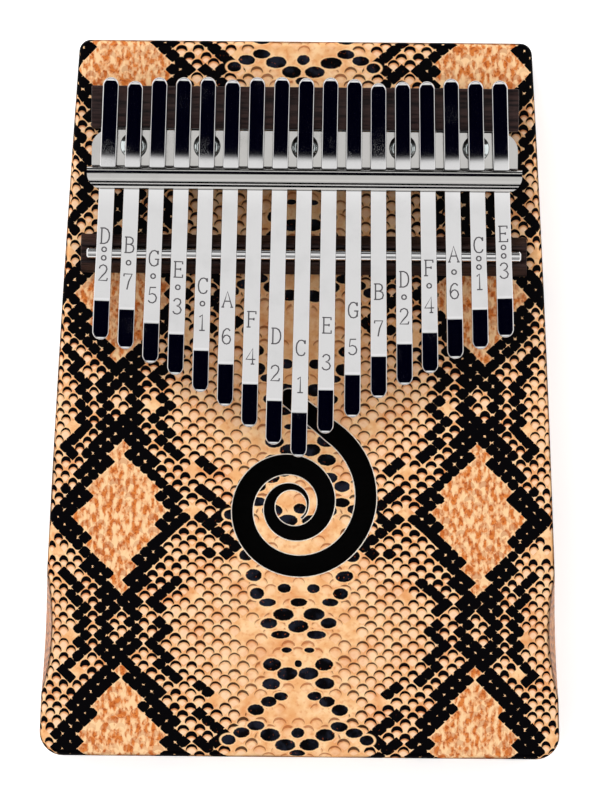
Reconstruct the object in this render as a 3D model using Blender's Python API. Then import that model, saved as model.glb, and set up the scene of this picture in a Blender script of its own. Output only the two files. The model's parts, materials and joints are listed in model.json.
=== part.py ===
"""A seventeen-tine thumb piano on a hollow, tapered wooden box.

Metres, +Z up. The back face lies on z = 0 with its centre at the origin, +Y points
to the head of the box, where the tines are clamped, and +X to the player's right.
A height called "above the board" is measured up from the front board's top face.
Along a tine, s is the distance from the saddle rod towards the free tip.
"""

import math

import bmesh
import bpy
from mathutils import Vector

# Gaps
REST_GAP = 0.0003  # between two pieces that bear on each other
SLIDE_GAP = 0.0003  # beside and above a tine in its slot, beyond its tuning travel

# The box
BODY_LENGTH = 0.185
HEAD_MARGIN = 0.0048  # on each side of the row of tines
TAIL_FLARE = 0.0182  # how much wider the tail is than the head
SIDE_BOW = 0.00075
HEAD_CORNER = 0.003
TAIL_CORNER = 0.006
BODY_THICKNESS = 0.030
EDGE_ROUNDING = 0.0015
FRONT_BOARD = 0.0035
BACK_BOARD = 0.0035
SIDE_WALL = 0.008
END_BLOCK = 0.012

# The shallow hollows for the hands in both long sides
REST_FROM_TAIL = 0.034
REST_DEPTH_FRONT = 0.002
REST_DEPTH_BACK = -0.002  # the hollow runs out halfway down the side
REST_RADIUS = 0.065

# The two vents in the back board
VENT_DIAMETER = 0.010
VENT_SPACING = 0.060
VENT_FROM_TAIL = 0.048

# The spiral sound hole, as an exponential spiral with a straight outer run
SPIRAL_FROM_SADDLE = 0.0647
SPIRAL_OFFSET = -0.0024  # to the left of the middle
SPIRAL_INNER_RADIUS = 0.0040
SPIRAL_GROWTH = 0.1235  # growth of the radius for each radian
SPIRAL_TAIL = 54  # degrees of even radius before the growth starts
SPIRAL_TURN = 782  # degrees from the start of the growth to the outer run
SPIRAL_FULL_WIDTH = 0.0054
SPIRAL_WIDENING = 600  # degrees over which the slot reaches its full width
SPIRAL_POINT_WIDTH = 0.0004
SPIRAL_RUN = 0.0165
SPIRAL_RUN_WIDTH = 0.0046
SPIRAL_STEP = 15  # degrees between the points of the outline
SPIRAL_RUN_STEPS = 3
SPIRAL_END_ANGLES = (30, 60, 80)  # where the rounded end of the run has its points, in degrees

# The back ridge
RIDGE_MARGIN = 0.0015  # past the row of tines, on each side
RIDGE_WIDTH = 0.0109
RIDGE_FROM_HEAD = 0.0121
RIDGE_HEIGHT = 0.0096
RIDGE_CROWN_RADIUS = 0.014

# The pressure bracket: one sheet bent into a foot, a slotted riser and a hood
SHEET = 0.0012
FOOT_MARGIN = 0.0015
FOOT_CORNER = 0.0045
FOOT_BEND = 0.0012
HOOD_MARGIN = 0.0025
HOOD_WIDTH = 0.0059
HOOD_RISE = 0.0011
HOOD_CORNER = 0.004
RISER_FROM_RIDGE = 0.0099
WINDOW_SILL = 0.0030

# The screws through the foot
SCREW_TINES = (-7, -4, 0, 4, 7)  # the tines they lie under, counted from the middle
SCREW_HEAD_DIAMETER = 0.007
SCREW_HEAD_HEIGHT = 0.002
SCREW_SHANK = 0.0032
SCREW_LENGTH = 0.012
SCREW_TIP = 0.0025
SCREW_DOME_FROM = 20  # degrees up the dome where the head's edge ends
SCREW_DOME_STEPS = 4
RECESS_SPAN = 0.0040
RECESS_ARM = 0.0009
RECESS_DEPTH = 0.0011

# The brace under the front board that the screws bite into
BRACE_WIDTH = 0.016
BRACE_DEPTH = 0.008

# The lower bridge and its rod
SADDLE_FROM_HEAD = 0.0552
ROD_DIAMETER = 0.003
ROD_MARGIN = 0.0025
ROD_END_STEPS = 3
ROD_HEIGHT = 0.0055  # of its centre above the board
BRIDGE_MARGIN = 0.0040
BRIDGE_WIDTH = 0.010
BRIDGE_EDGE = 0.0015
BRIDGE_LAND = 0.0008  # flat on each side of the groove

# The tines
NOTES = "d6 b5 g5 e5 c5 a4 f4 d4 c4 e4 g4 b4 d5 f5 a5 c6 e6".split()
TINE_WIDTH = 0.0041
TINE_TIP_FLARE = 0.0002  # how much wider a tine is at its fold
TINE_THICKNESS = 0.00102
TINE_CHAMFER = 0.00035
TINE_PITCH = 0.00643  # at the saddle
TINE_FAN = math.radians(0.25)  # more for each tine away from the middle
COMB_LEAN = math.radians(0.75)  # the longest tines are set a little to the left
COMB_LEAN_SPREAD = 2.5  # tines over which that lean dies away
TAIL_BEHIND_SADDLE = 0.0448
STOCK_STEP = 0.0015  # the blanks are cut in steps of this length
FRONT_SLOPE = math.radians(4.8)
TIP_FOLD = math.radians(16.5)
TIP_LENGTH = 0.0095
TIP_LENGTH_SHARE = 0.045  # of the free length, added to the tip
HINGE_SHARE = 0.15  # where a bending strip seems to pivot, as a share of its length
HINGE_GAP = 0.0003
TUNING_TRAVEL = 0.001
BEND_STEPS = 12  # sections between the ridge and the saddle
ROUND_END_ANGLES = (22, 42, 62, 90)  # where a rounded end has its sections, in degrees
CONTACT_ROUNDS = 12  # enough for the strip's contact with the ridge to settle

# The tuning of a steel strip
STEEL_STIFFNESS = 200e9
STEEL_DENSITY = 7850.0
CANTILEVER_FACTOR = 0.16154
CLAMP_GIVE = 0.00424
CONCERT_A = 440.0
SEMITONES = {"c": -9, "d": -7, "e": -5, "f": -4, "g": -2, "a": 0, "b": 2}

MATERIALS = {
    "print_lacquer": ((0.80, 0.45, 0.20), 0.25, 0.0),
    "bare_wood": ((0.55, 0.38, 0.22), 0.65, 0.0),
    "dark_wood": ((0.07, 0.03, 0.02), 0.35, 0.0),
    "polished_steel": ((0.75, 0.75, 0.76), 0.12, 1.0),
}

# Places that follow from the sizes
HEAD_Y = BODY_LENGTH / 2
TAIL_Y = -BODY_LENGTH / 2
BOARD_TOP = BODY_THICKNESS
BOARD_UNDERSIDE = BODY_THICKNESS - FRONT_BOARD
RIDGE_Y = HEAD_Y - RIDGE_FROM_HEAD - RIDGE_WIDTH / 2
RIDGE_FRONT_Y = RIDGE_Y - RIDGE_WIDTH / 2
HOOD_REAR_Y = RIDGE_FRONT_Y - RISER_FROM_RIDGE
HOOD_FRONT_Y = HOOD_REAR_Y - HOOD_WIDTH
SADDLE_Y = HEAD_Y - SADDLE_FROM_HEAD
PRESS_Y = (HOOD_REAR_Y + HOOD_FRONT_Y) / 2
SCREW_Y = (RIDGE_FRONT_Y + HOOD_REAR_Y + SHEET) / 2
COMB_WIDTH = TINE_PITCH * (len(NOTES) - 1) + TINE_WIDTH
HEAD_WIDTH = COMB_WIDTH + 2 * HEAD_MARGIN
TAIL_WIDTH = HEAD_WIDTH + TAIL_FLARE
SPIRAL_CENTRE = (SPIRAL_OFFSET, SADDLE_Y - SPIRAL_FROM_SADDLE)
FAR = 2 * BODY_LENGTH  # past every side of the box

# How finely curves are cut
CORNER_STEPS = 5
EDGE_STEPS = 3
SIDE_STEPS = 8
REST_STEPS = 128
HOLE_STEPS = 24
SCREW_HOLE_STEPS = 16
CROWN_STEPS = 8
GROOVE_STEPS = 8
FOOT_BEND_STEPS = 4
HOOD_STEPS = 12
TURNED_STEPS = 16
SMOOTH_BELOW = math.radians(35)  # edges with a gentler turn than this are shaded smooth


def clear_scene():
    for old in list(bpy.data.objects):
        bpy.data.objects.remove(old, do_unlink=True)


def material(name):
    found = bpy.data.materials.get(name)
    if found:
        return found
    colour, roughness, metallic = MATERIALS[name]
    made = bpy.data.materials.new(name)
    made.use_nodes = True
    shader = made.node_tree.nodes["Principled BSDF"]
    shader.inputs["Base Color"].default_value = (*colour, 1.0)
    shader.inputs["Roughness"].default_value = roughness
    shader.inputs["Metallic"].default_value = metallic
    return made


def add_object(name, bm, material_name=None, smooth_angle=None):
    """Turns bm into a linked object with outward faces."""
    bmesh.ops.recalc_face_normals(bm, faces=bm.faces)
    mesh = bpy.data.meshes.new(name)
    bm.to_mesh(mesh)
    bm.free()
    if smooth_angle:
        mesh.shade_smooth()
        mesh.set_sharp_from_angle(angle=smooth_angle)
    obj = bpy.data.objects.new(name, mesh)
    bpy.context.scene.collection.objects.link(obj)
    if material_name:
        mesh.materials.append(material(material_name))
    return obj


def as_cutter(obj):
    obj.hide_render = True
    obj.display_type = "WIRE"
    return obj


def cut(obj, cutter, operation="DIFFERENCE"):
    boolean = obj.modifiers.new(cutter.name, "BOOLEAN")
    boolean.operation = operation
    boolean.solver = "EXACT"
    boolean.object = cutter


def rounded(corners):
    """An outline through (x, y, radius) corners, each turned by an arc."""
    points = []
    for i, (x, y, radius) in enumerate(corners):
        here = Vector((x, y))
        if not radius:
            points.append(here)
            continue
        before = Vector(corners[i - 1][:2]) - here
        after = Vector(corners[(i + 1) % len(corners)][:2]) - here
        half = before.angle(after) / 2
        inward = (before.normalized() + after.normalized()).normalized()
        centre = here + inward * radius / math.sin(half)
        start = (here + before.normalized() * radius / math.tan(half) - centre).normalized()
        end = (here + after.normalized() * radius / math.tan(half) - centre).normalized()
        for k in range(CORNER_STEPS + 1):
            points.append(centre + start.slerp(end, k / CORNER_STEPS).normalized() * radius)
    return points


def ribbon(path, half_widths):
    """The outline of a band of changing width along a path of 2D points."""
    left, right = [], []
    for i, (point, half) in enumerate(zip(path, half_widths)):
        along = (path[min(i + 1, len(path) - 1)] - path[max(i - 1, 0)]).normalized()
        across = Vector((-along.y, along.x)) * half
        left.append(point + across)
        right.append(point - across)
    return left + right[::-1]


def arc(centre, radii, first, last, steps):
    """Points of an ellipse from the first angle to the last, in degrees."""
    points = []
    for k in range(steps + 1):
        angle = math.radians(first + (last - first) * k / steps)
        points.append(Vector((centre[0] + radii[0] * math.cos(angle), centre[1] + radii[1] * math.sin(angle))))
    return points


def extrude(outline, start, travel):
    """A solid from an outline of 3D points, moved along travel."""
    bm = bmesh.new()
    base = bm.faces.new([bm.verts.new(start + point) for point in outline])
    grown = bmesh.ops.extrude_face_region(bm, geom=[base])["geom"]
    bmesh.ops.translate(bm, vec=travel, verts=[v for v in grown if isinstance(v, bmesh.types.BMVert)])
    return bm


def upright(outline, low, high):
    """A solid standing on a plan outline."""
    return extrude([p.to_3d() for p in outline], Vector((0, 0, low)), Vector((0, 0, high - low)))


def crosswise(outline, length):
    """A bar along X with a section of (y, height above the board) points."""
    flat = [Vector((0, p.x, p.y)) for p in outline]
    return extrude(flat, Vector((-length / 2, 0, BOARD_TOP)), Vector((length, 0, 0)))


def add_cylinder(bm, centre, radius, low, high, segments=HOLE_STEPS):
    outline = [centre + p for p in arc((0, 0), (radius, radius), 0, 360 - 360 / segments, segments - 1)]
    for z in (low, high):
        for point in outline:
            bm.verts.new((point.x, point.y, z))
    bm.verts.ensure_lookup_table()
    first = len(bm.verts) - 2 * segments
    lower = [bm.verts[first + k] for k in range(segments)]
    upper = [bm.verts[first + segments + k] for k in range(segments)]
    bm.faces.new(lower[::-1])
    bm.faces.new(upper)
    for k in range(segments):
        after = (k + 1) % segments
        bm.faces.new((lower[k], lower[after], upper[after], upper[k]))


def turned(profile):
    """A solid turned about Z from (radius, z) points whose ends lie on the axis."""
    bm = bmesh.new()
    chain = [bm.verts.new((radius, 0, z)) for radius, z in profile]
    edges = [bm.edges.new(pair) for pair in zip(chain, chain[1:])]
    bmesh.ops.spin(bm, geom=chain + edges, cent=(0, 0, 0), axis=(0, 0, 1), dvec=(0, 0, 0),
                   angle=math.tau, steps=TURNED_STEPS, use_duplicate=False)
    bmesh.ops.remove_doubles(bm, verts=bm.verts, dist=1e-6)
    return bm


def loft(rings):
    """A closed solid through rings of equally many points."""
    bm = bmesh.new()
    rows = [[bm.verts.new(point) for point in ring] for ring in rings]
    for row, following in zip(rows, rows[1:]):
        for k in range(len(row)):
            after = (k + 1) % len(row)
            bm.faces.new((row[k], row[after], following[after], following[k]))
    bm.faces.new(rows[0][::-1])
    bm.faces.new(rows[-1])
    return bm


# ---- the box ----


def straight_half_width(y):
    """Half the box's width at y, without the bow of its sides."""
    share = (HEAD_Y - y) / BODY_LENGTH
    return (HEAD_WIDTH + (TAIL_WIDTH - HEAD_WIDTH) * share) / 2


def half_width(y):
    return straight_half_width(y) + SIDE_BOW * (1 - (y / HEAD_Y) ** 2)


def inner_half_width(y):
    return straight_half_width(y) - SIDE_WALL


def box_form():
    """The whole box as one block: every wooden member is trimmed to it."""
    corners = [(HEAD_WIDTH / 2, HEAD_Y, HEAD_CORNER), (-HEAD_WIDTH / 2, HEAD_Y, HEAD_CORNER)]
    between = [HEAD_Y - BODY_LENGTH * k / SIDE_STEPS for k in range(1, SIDE_STEPS)]
    corners += [(-straight_half_width(y), y, 0) for y in between]
    corners += [(-TAIL_WIDTH / 2, TAIL_Y, TAIL_CORNER), (TAIL_WIDTH / 2, TAIL_Y, TAIL_CORNER)]
    corners += [(straight_half_width(y), y, 0) for y in reversed(between)]
    outline = []
    for point in rounded(corners):
        bowed = half_width(point.y) / straight_half_width(point.y)
        outline.append(Vector((point.x * bowed, point.y)))
    bm = upright(outline, 0, BODY_THICKNESS)
    rims = [e for e in bm.edges if abs(e.verts[0].co.z - e.verts[1].co.z) < REST_GAP]
    bmesh.ops.bevel(bm, geom=rims, offset=EDGE_ROUNDING, segments=EDGE_STEPS, affect="EDGES")
    form = as_cutter(add_object("box_form", bm))
    for side in (-1, 1):
        cut(form, hand_rest_cutter(side))
    return form


def hand_rest_cutter(side):
    """A wide, leaning cylinder that bites into the front half of a side."""
    bm = bmesh.new()
    add_cylinder(bm, Vector((0, 0)), REST_RADIUS, -BODY_THICKNESS, BODY_THICKNESS, REST_STEPS)
    cutter = as_cutter(add_object("hand_rest_cutter", bm))
    y = TAIL_Y + REST_FROM_TAIL
    reach = half_width(y) + REST_RADIUS - REST_DEPTH_FRONT
    lean = math.atan((REST_DEPTH_FRONT - REST_DEPTH_BACK) / BODY_THICKNESS)
    cutter.location = (side * reach, y, BODY_THICKNESS)
    cutter.rotation_euler = (0, -side * lean, 0)
    return cutter


def trimmed(name, bm, form, material_name):
    """A wooden member cut oversize and trimmed to the form of the box."""
    member = add_object(name, bm, material_name)
    cut(member, form, "INTERSECT")
    return member


def spiral_path():
    """Centreline points and half widths of the sound hole, from its point outwards."""
    centre = Vector(SPIRAL_CENTRE)
    path, halves = [], []
    steps = round((SPIRAL_TURN + SPIRAL_TAIL) / SPIRAL_STEP)
    for k in range(steps + 1):
        turn = -SPIRAL_TAIL + (SPIRAL_TURN + SPIRAL_TAIL) * k / steps
        grown = math.radians(max(turn, 0))
        radius = SPIRAL_INNER_RADIUS * math.exp(SPIRAL_GROWTH * grown)
        angle = math.radians(turn)
        path.append(centre + radius * Vector((math.cos(angle), math.sin(angle))))
        opened = math.sin(math.radians(90) * min(max(turn, 0) / SPIRAL_WIDENING, 1))
        halves.append((SPIRAL_POINT_WIDTH + (SPIRAL_FULL_WIDTH - SPIRAL_POINT_WIDTH) * opened) / 2)
    along = (path[-1] - path[-2]).normalized()
    run_half = SPIRAL_RUN_WIDTH / 2
    run_start = path[-1]
    for k in range(1, SPIRAL_RUN_STEPS + 1):
        path.append(run_start + along * (SPIRAL_RUN - run_half) * k / SPIRAL_RUN_STEPS)
        halves.append(run_half)
    for angle in SPIRAL_END_ANGLES:
        path.append(run_start + along * (SPIRAL_RUN - run_half + run_half * math.sin(math.radians(angle))))
        halves.append(run_half * math.cos(math.radians(angle)))
    return path, halves


def boards(form):
    front = trimmed("front_board", upright(plan_block(FAR), BOARD_UNDERSIDE, FAR), form, "print_lacquer")
    hole = upright(ribbon(*spiral_path()), BOARD_UNDERSIDE - REST_GAP, BOARD_TOP + REST_GAP)
    cut(front, as_cutter(add_object("sound_hole_cutter", hole)))
    cut(front, screw_hole_cutter("front_board_holes", BOARD_UNDERSIDE - REST_GAP, BOARD_TOP + REST_GAP))

    back = trimmed("back_board", upright(plan_block(FAR), -FAR, BACK_BOARD), form, "print_lacquer")
    vents = bmesh.new()
    for side in (-1, 1):
        centre = Vector((side * VENT_SPACING / 2, TAIL_Y + VENT_FROM_TAIL))
        add_cylinder(vents, centre, VENT_DIAMETER / 2, -REST_GAP, BACK_BOARD + REST_GAP)
    cut(back, as_cutter(add_object("vent_cutter", vents)))


def plan_block(half):
    return [Vector((-half, -half)), Vector((half, -half)), Vector((half, half)), Vector((-half, half))]


def walls(form):
    low, high = BACK_BOARD + REST_GAP, BOARD_UNDERSIDE - REST_GAP
    for side, name in ((-1, "left_rail"), (1, "right_rail")):
        plan = [Vector((side * inner_half_width(y), y)) for y in (-FAR, FAR)]
        plan += [Vector((side * FAR, y)) for y in (FAR, -FAR)]
        trimmed(name, upright(plan, low, high), form, "print_lacquer")
    for name, first, last in (("head_block", HEAD_Y - END_BLOCK, FAR), ("tail_block", -FAR, TAIL_Y + END_BLOCK)):
        trimmed(name, upright(between_rails(first, last), low, high), form, "print_lacquer")


def between_rails(first, last):
    """A plan outline that fills the space between the rails from one y to another."""
    left = [Vector((REST_GAP - inner_half_width(y), y)) for y in (last, first)]
    return left + [Vector((-p.x, p.y)) for p in reversed(left)]


def screw_brace():
    low = BOARD_UNDERSIDE - REST_GAP - BRACE_DEPTH
    plan = between_rails(SCREW_Y - BRACE_WIDTH / 2, SCREW_Y + BRACE_WIDTH / 2)
    brace = add_object("screw_brace", upright(plan, low, low + BRACE_DEPTH), "bare_wood")
    cut(brace, screw_hole_cutter("brace_holes", screw_seat() - SCREW_LENGTH - REST_GAP, FAR))


# ---- the metal and the hard wood on the board ----


def screw_seat():
    """The height of the underside of a screw's head."""
    return BOARD_TOP + REST_GAP + SHEET + REST_GAP


def screw_places():
    """Each screw's x, under the line of its tine."""
    pitch = TINE_PITCH - math.tan(TINE_FAN) * (SCREW_Y - SADDLE_Y)
    return [index * pitch for index in SCREW_TINES]


def screw_hole_cutter(name, low, high):
    bm = bmesh.new()
    for x in screw_places():
        add_cylinder(bm, Vector((x, SCREW_Y)), SCREW_SHANK / 2 + REST_GAP, low, high, SCREW_HOLE_STEPS)
    return as_cutter(add_object(name, bm))


def screws():
    shank, head = SCREW_SHANK / 2, SCREW_HEAD_DIAMETER / 2
    dome = [(p.x, p.y) for p in arc((0, 0), (head, SCREW_HEAD_HEIGHT), SCREW_DOME_FROM, 90, SCREW_DOME_STEPS)]
    profile = [(0, -SCREW_LENGTH), (shank, SCREW_TIP - SCREW_LENGTH), (shank, 0), (head, 0)]
    profile += dome[:-1] + [(0, SCREW_HEAD_HEIGHT)]
    half, arm = RECESS_SPAN / 2, RECESS_ARM / 2
    quarter = [(half, -arm), (half, arm), (arm, arm)]
    plan = []
    for turn in range(4):
        for x, y in quarter:
            for _ in range(turn):
                x, y = -y, x
            plan.append(Vector((x, y)))
    for number, x in enumerate(screw_places(), 1):
        screw = add_object(f"bracket_screw_{number}", turned(profile), "polished_steel", SMOOTH_BELOW)
        screw.location = (x, SCREW_Y, screw_seat())
        recess = upright(plan, SCREW_HEAD_HEIGHT - RECESS_DEPTH, SCREW_HEAD_HEIGHT + REST_GAP)
        driver = as_cutter(add_object(f"recess_cutter_{number}", recess))
        driver.parent = screw
        cut(screw, driver)


def back_ridge():
    half = RIDGE_WIDTH / 2
    spread = math.degrees(math.asin(half / RIDGE_CROWN_RADIUS))
    centre = (RIDGE_Y, RIDGE_HEIGHT - RIDGE_CROWN_RADIUS)
    crown = arc(centre, (RIDGE_CROWN_RADIUS, RIDGE_CROWN_RADIUS), 90 - spread, 90 + spread, CROWN_STEPS)
    section = [Vector((RIDGE_Y - half, REST_GAP)), Vector((RIDGE_Y + half, REST_GAP))] + crown
    add_object("back_ridge", crosswise(section, COMB_WIDTH + 2 * RIDGE_MARGIN), "dark_wood", SMOOTH_BELOW)


def lower_bridge():
    half = BRIDGE_WIDTH / 2
    groove = ROD_DIAMETER / 2 + REST_GAP
    land = groove + BRIDGE_LAND
    section = [Vector((SADDLE_Y - half, REST_GAP)), Vector((SADDLE_Y + half, REST_GAP))]
    section += [Vector((SADDLE_Y + half, BRIDGE_EDGE)), Vector((SADDLE_Y + land, ROD_HEIGHT))]
    section += arc((SADDLE_Y, ROD_HEIGHT), (groove, groove), 0, -180, GROOVE_STEPS)
    section += [Vector((SADDLE_Y - land, ROD_HEIGHT)), Vector((SADDLE_Y - half, BRIDGE_EDGE))]
    add_object("lower_bridge", crosswise(section, COMB_WIDTH + 2 * BRIDGE_MARGIN), "dark_wood", SMOOTH_BELOW)


def saddle_rod():
    radius, half = ROD_DIAMETER / 2, COMB_WIDTH / 2 + ROD_MARGIN
    end = [(p.x, p.y + half - radius) for p in arc((0, 0), (radius, radius), 0, 90, ROD_END_STEPS)]
    profile = [(0, -half)] + [(x, -z) for x, z in end[-2::-1]] + end[:-1] + [(0, half)]
    rod = add_object("saddle_rod", turned(profile), "polished_steel", SMOOTH_BELOW)
    rod.location = (0, SADDLE_Y, BOARD_TOP + ROD_HEIGHT)
    rod.rotation_euler = (0, math.radians(90), 0)


def tine_bracket():
    """The foot, riser and hood from one sheet, with a window for each tine."""
    middle = REST_GAP + SHEET / 2
    riser_y = HOOD_REAR_Y - SHEET / 2
    lip_y = HOOD_FRONT_Y + SHEET / 2
    lip_places = (HOOD_FRONT_Y - TUNING_TRAVEL, HOOD_FRONT_Y, lip_y + SHEET / 2 + TUNING_TRAVEL)
    lip = max(tine_top(SADDLE_Y - y) for y in lip_places) + REST_GAP
    half_sheet, half_hood = SHEET / 2, (riser_y - lip_y) / 2
    bend_centre = (riser_y + FOOT_BEND, middle + FOOT_BEND)
    hood_centre = ((riser_y + lip_y) / 2, lip)
    section = [Vector((RIDGE_FRONT_Y, middle - half_sheet))]
    section += arc(bend_centre, (FOOT_BEND + half_sheet,) * 2, 270, 180, FOOT_BEND_STEPS)
    section += arc(hood_centre, (half_hood - half_sheet, HOOD_RISE - half_sheet), 0, 180, HOOD_STEPS)
    section += arc(hood_centre, (half_hood + half_sheet, HOOD_RISE + half_sheet), 180, 0, HOOD_STEPS)
    section += arc(bend_centre, (FOOT_BEND - half_sheet,) * 2, 180, 270, FOOT_BEND_STEPS)
    section.append(Vector((RIDGE_FRONT_Y, middle + half_sheet)))
    foot_half, hood_half = COMB_WIDTH / 2 + FOOT_MARGIN, COMB_WIDTH / 2 + HOOD_MARGIN
    sheet = crosswise(section, 2 * hood_half)
    bracket = add_object("tine_bracket", sheet, "polished_steel", SMOOTH_BELOW)

    rear_y = RIDGE_FRONT_Y - REST_GAP
    corners = [(foot_half, rear_y, FOOT_CORNER), (-foot_half, rear_y, FOOT_CORNER)]
    corners += [(-foot_half, HOOD_REAR_Y, 0), (-hood_half, HOOD_REAR_Y, 0)]
    corners += [(-hood_half, HOOD_FRONT_Y, HOOD_CORNER), (hood_half, HOOD_FRONT_Y, HOOD_CORNER)]
    corners += [(hood_half, HOOD_REAR_Y, 0), (foot_half, HOOD_REAR_Y, 0)]
    plan = upright(rounded(corners), 0, FAR)
    cut(bracket, as_cutter(add_object("bracket_plan", plan)), "INTERSECT")

    windows = bmesh.new()
    sill = BOARD_TOP + WINDOW_SILL
    top = BOARD_TOP + tine_top(SADDLE_Y - HOOD_REAR_Y - TUNING_TRAVEL) + SLIDE_GAP
    for index in tine_indices():
        x, yaw = tine_place(index)
        centre = x - math.tan(yaw) * (riser_y - SADDLE_Y)
        half = TINE_WIDTH / 2 + SLIDE_GAP + SHEET * abs(math.tan(yaw))
        corner_signs = ((-1, -1), (1, -1), (1, 1), (-1, 1))
        plan = [Vector((centre + sx * half, riser_y + sy * SHEET)) for sx, sy in corner_signs]
        add_box(windows, plan, sill, top)
    cut(bracket, as_cutter(add_object("window_cutter", windows)))
    cut(bracket, screw_hole_cutter("foot_holes", BOARD_TOP - REST_GAP, screw_seat() + REST_GAP))


def add_box(bm, plan, low, high):
    lower = [bm.verts.new((p.x, p.y, low)) for p in plan]
    upper = [bm.verts.new((p.x, p.y, high)) for p in plan]
    bm.faces.new(lower[::-1])
    bm.faces.new(upper)
    for k in range(len(plan)):
        after = (k + 1) % len(plan)
        bm.faces.new((lower[k], lower[after], upper[after], upper[k]))


# ---- the tines ----


def tine_indices():
    return range(-(len(NOTES) // 2), len(NOTES) // 2 + 1)


def free_length(note):
    """The length past the saddle that sounds the note."""
    semitones = SEMITONES[note[0]] + 12 * (int(note[1]) - 4)
    pitch = CONCERT_A * 2 ** (semitones / 12)
    speed = math.sqrt(STEEL_STIFFNESS / STEEL_DENSITY)
    return math.sqrt(CANTILEVER_FACTOR * speed * TINE_THICKNESS / pitch) - CLAMP_GIVE


def length_behind(note):
    """The length behind the saddle, which the cut of the blank leaves."""
    blank = round((free_length(note) + TAIL_BEHIND_SADDLE) / STOCK_STEP) * STOCK_STEP
    return blank - free_length(note)


def tine_place(index):
    """A tine's x at the saddle, and its turn about Z."""
    lean = COMB_LEAN * math.exp(-((index / COMB_LEAN_SPREAD) ** 2))
    return TINE_PITCH * index - math.tan(lean) * (PRESS_Y - SADDLE_Y), TINE_FAN * index - lean


def height_on_rod():
    """The height of the middle of the strip where it crosses the rod."""
    clear = ROD_DIAMETER / 2 + REST_GAP + TINE_THICKNESS / 2
    return ROD_HEIGHT + clear / math.cos(FRONT_SLOPE)


def held_bend():
    """How far behind the hood's middle the strip meets the ridge, and its curvature under the hood.

    The strip is bent only by the hood, so its curvature dies away evenly to nothing at
    the rod and at the ridge, where it lies against the round crown.
    """
    droop, front = math.tan(FRONT_SLOPE), PRESS_Y - SADDLE_Y
    clear = RIDGE_CROWN_RADIUS + REST_GAP + TINE_THICKNESS / 2
    lean = 0.0
    for _ in range(CONTACT_ROUNDS):
        rear = RIDGE_Y - clear * math.sin(lean) - PRESS_Y
        lift = RIDGE_HEIGHT - RIDGE_CROWN_RADIUS + clear * math.cos(lean) - height_on_rod()
        bend = (lift + droop * (front + rear)) / (front**2 / 6 + front * rear / 2 + rear**2 / 3)
        lean = math.atan(bend * (front + rear) / 2 - droop)
    return rear, bend


def strip(s):
    """The height of the middle of a tine above the board and its slope, short of its tip."""
    droop, front = math.tan(FRONT_SLOPE), PRESS_Y - SADDLE_Y
    if s >= 0:
        return height_on_rod() + s * droop, FRONT_SLOPE
    rear, bend = held_bend()
    u = min(-s, front)
    height = height_on_rod() - droop * u + bend * u**3 / (6 * front)
    rise = bend * u**2 / (2 * front) - droop
    if -s > front:
        t = min(-s - front, rear)
        height += rise * t + bend * (t**2 / 2 - t**3 / (6 * rear))
        rise += bend * (t - t**2 / (2 * rear))
        height += rise * (-s - front - t)
    return height, -math.atan(rise)


def tine_top(s):
    """The height of a tine's upper face above the board, short of its tip."""
    height, slope = strip(s)
    return height + TINE_THICKNESS / 2 / math.cos(slope)


def section_ring(s, z, slope, half, origin):
    """A chamfered cross-section, square to the strip, seen from the origin station."""
    flat, edge = TINE_THICKNESS / 2, TINE_THICKNESS / 2 - TINE_CHAMFER
    across = half - TINE_CHAMFER
    outline = [(-half, edge), (-across, flat), (across, flat), (half, edge)]
    outline += [(half, -edge), (across, -flat), (-across, -flat), (-half, -edge)]
    ring = []
    for x, v in outline:
        ring.append((x, origin[0] - (s - v * math.sin(slope)), z + v * math.cos(slope) - origin[1]))
    return ring


def round_end(half):
    """Distances from a rounded end, and half widths there."""
    angles = [math.radians(angle) for angle in ROUND_END_ANGLES]
    return [(half * (1 - math.cos(a)), half * math.sin(a)) for a in angles]


def add_tine(note, index):
    length = free_length(note)
    pivot = HINGE_SHARE * length
    fold = length - TIP_LENGTH - TIP_LENGTH_SHARE * length
    half, tip_half = TINE_WIDTH / 2, (TINE_WIDTH + TINE_TIP_FLARE) / 2
    tip_slope = FRONT_SLOPE - TIP_FOLD
    end = -length_behind(note)

    at_saddle = (0, height_on_rod())
    rings = []
    for d, w in round_end(half):
        rings.append(section_ring(end + d, *strip(end + d), w, at_saddle))
    bent = PRESS_Y - SADDLE_Y + held_bend()[0]
    for k in range(BEND_STEPS + 1):
        s = -bent * (1 - k / BEND_STEPS)
        rings.append(section_ring(s, *strip(s), half, at_saddle))
    rings.append(section_ring(pivot - HINGE_GAP / 2, *strip(pivot - HINGE_GAP / 2), half, at_saddle))
    root = add_object(f"tine_{note}_root", loft(rings), "polished_steel", SMOOTH_BELOW)
    x, yaw = tine_place(index)
    root.location = (x, SADDLE_Y, BOARD_TOP + height_on_rod())
    root.rotation_euler = (0, 0, yaw)

    pivot_height, fold_height = strip(pivot)[0], strip(fold)[0]
    at_pivot = (pivot, pivot_height)
    rings = [section_ring(pivot + HINGE_GAP / 2, *strip(pivot + HINGE_GAP / 2), half, at_pivot)]
    rings.append(section_ring(fold, fold_height, (FRONT_SLOPE + tip_slope) / 2, tip_half, at_pivot))
    for d, w in reversed(round_end(tip_half)):
        s = length - d
        rings.append(section_ring(s, fold_height + (s - fold) * math.tan(tip_slope), tip_slope, w, at_pivot))
    tongue = add_object(f"tine_{note}_tongue", loft(rings), "polished_steel", SMOOTH_BELOW)
    tongue.parent = root
    tongue.location = (0, -pivot, pivot_height - height_on_rod())


def main():
    clear_scene()
    form = box_form()
    boards(form)
    walls(form)
    screw_brace()
    back_ridge()
    lower_bridge()
    saddle_rod()
    tine_bracket()
    screws()
    for index, note in zip(tine_indices(), NOTES):
        add_tine(note, index)


main()
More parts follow.
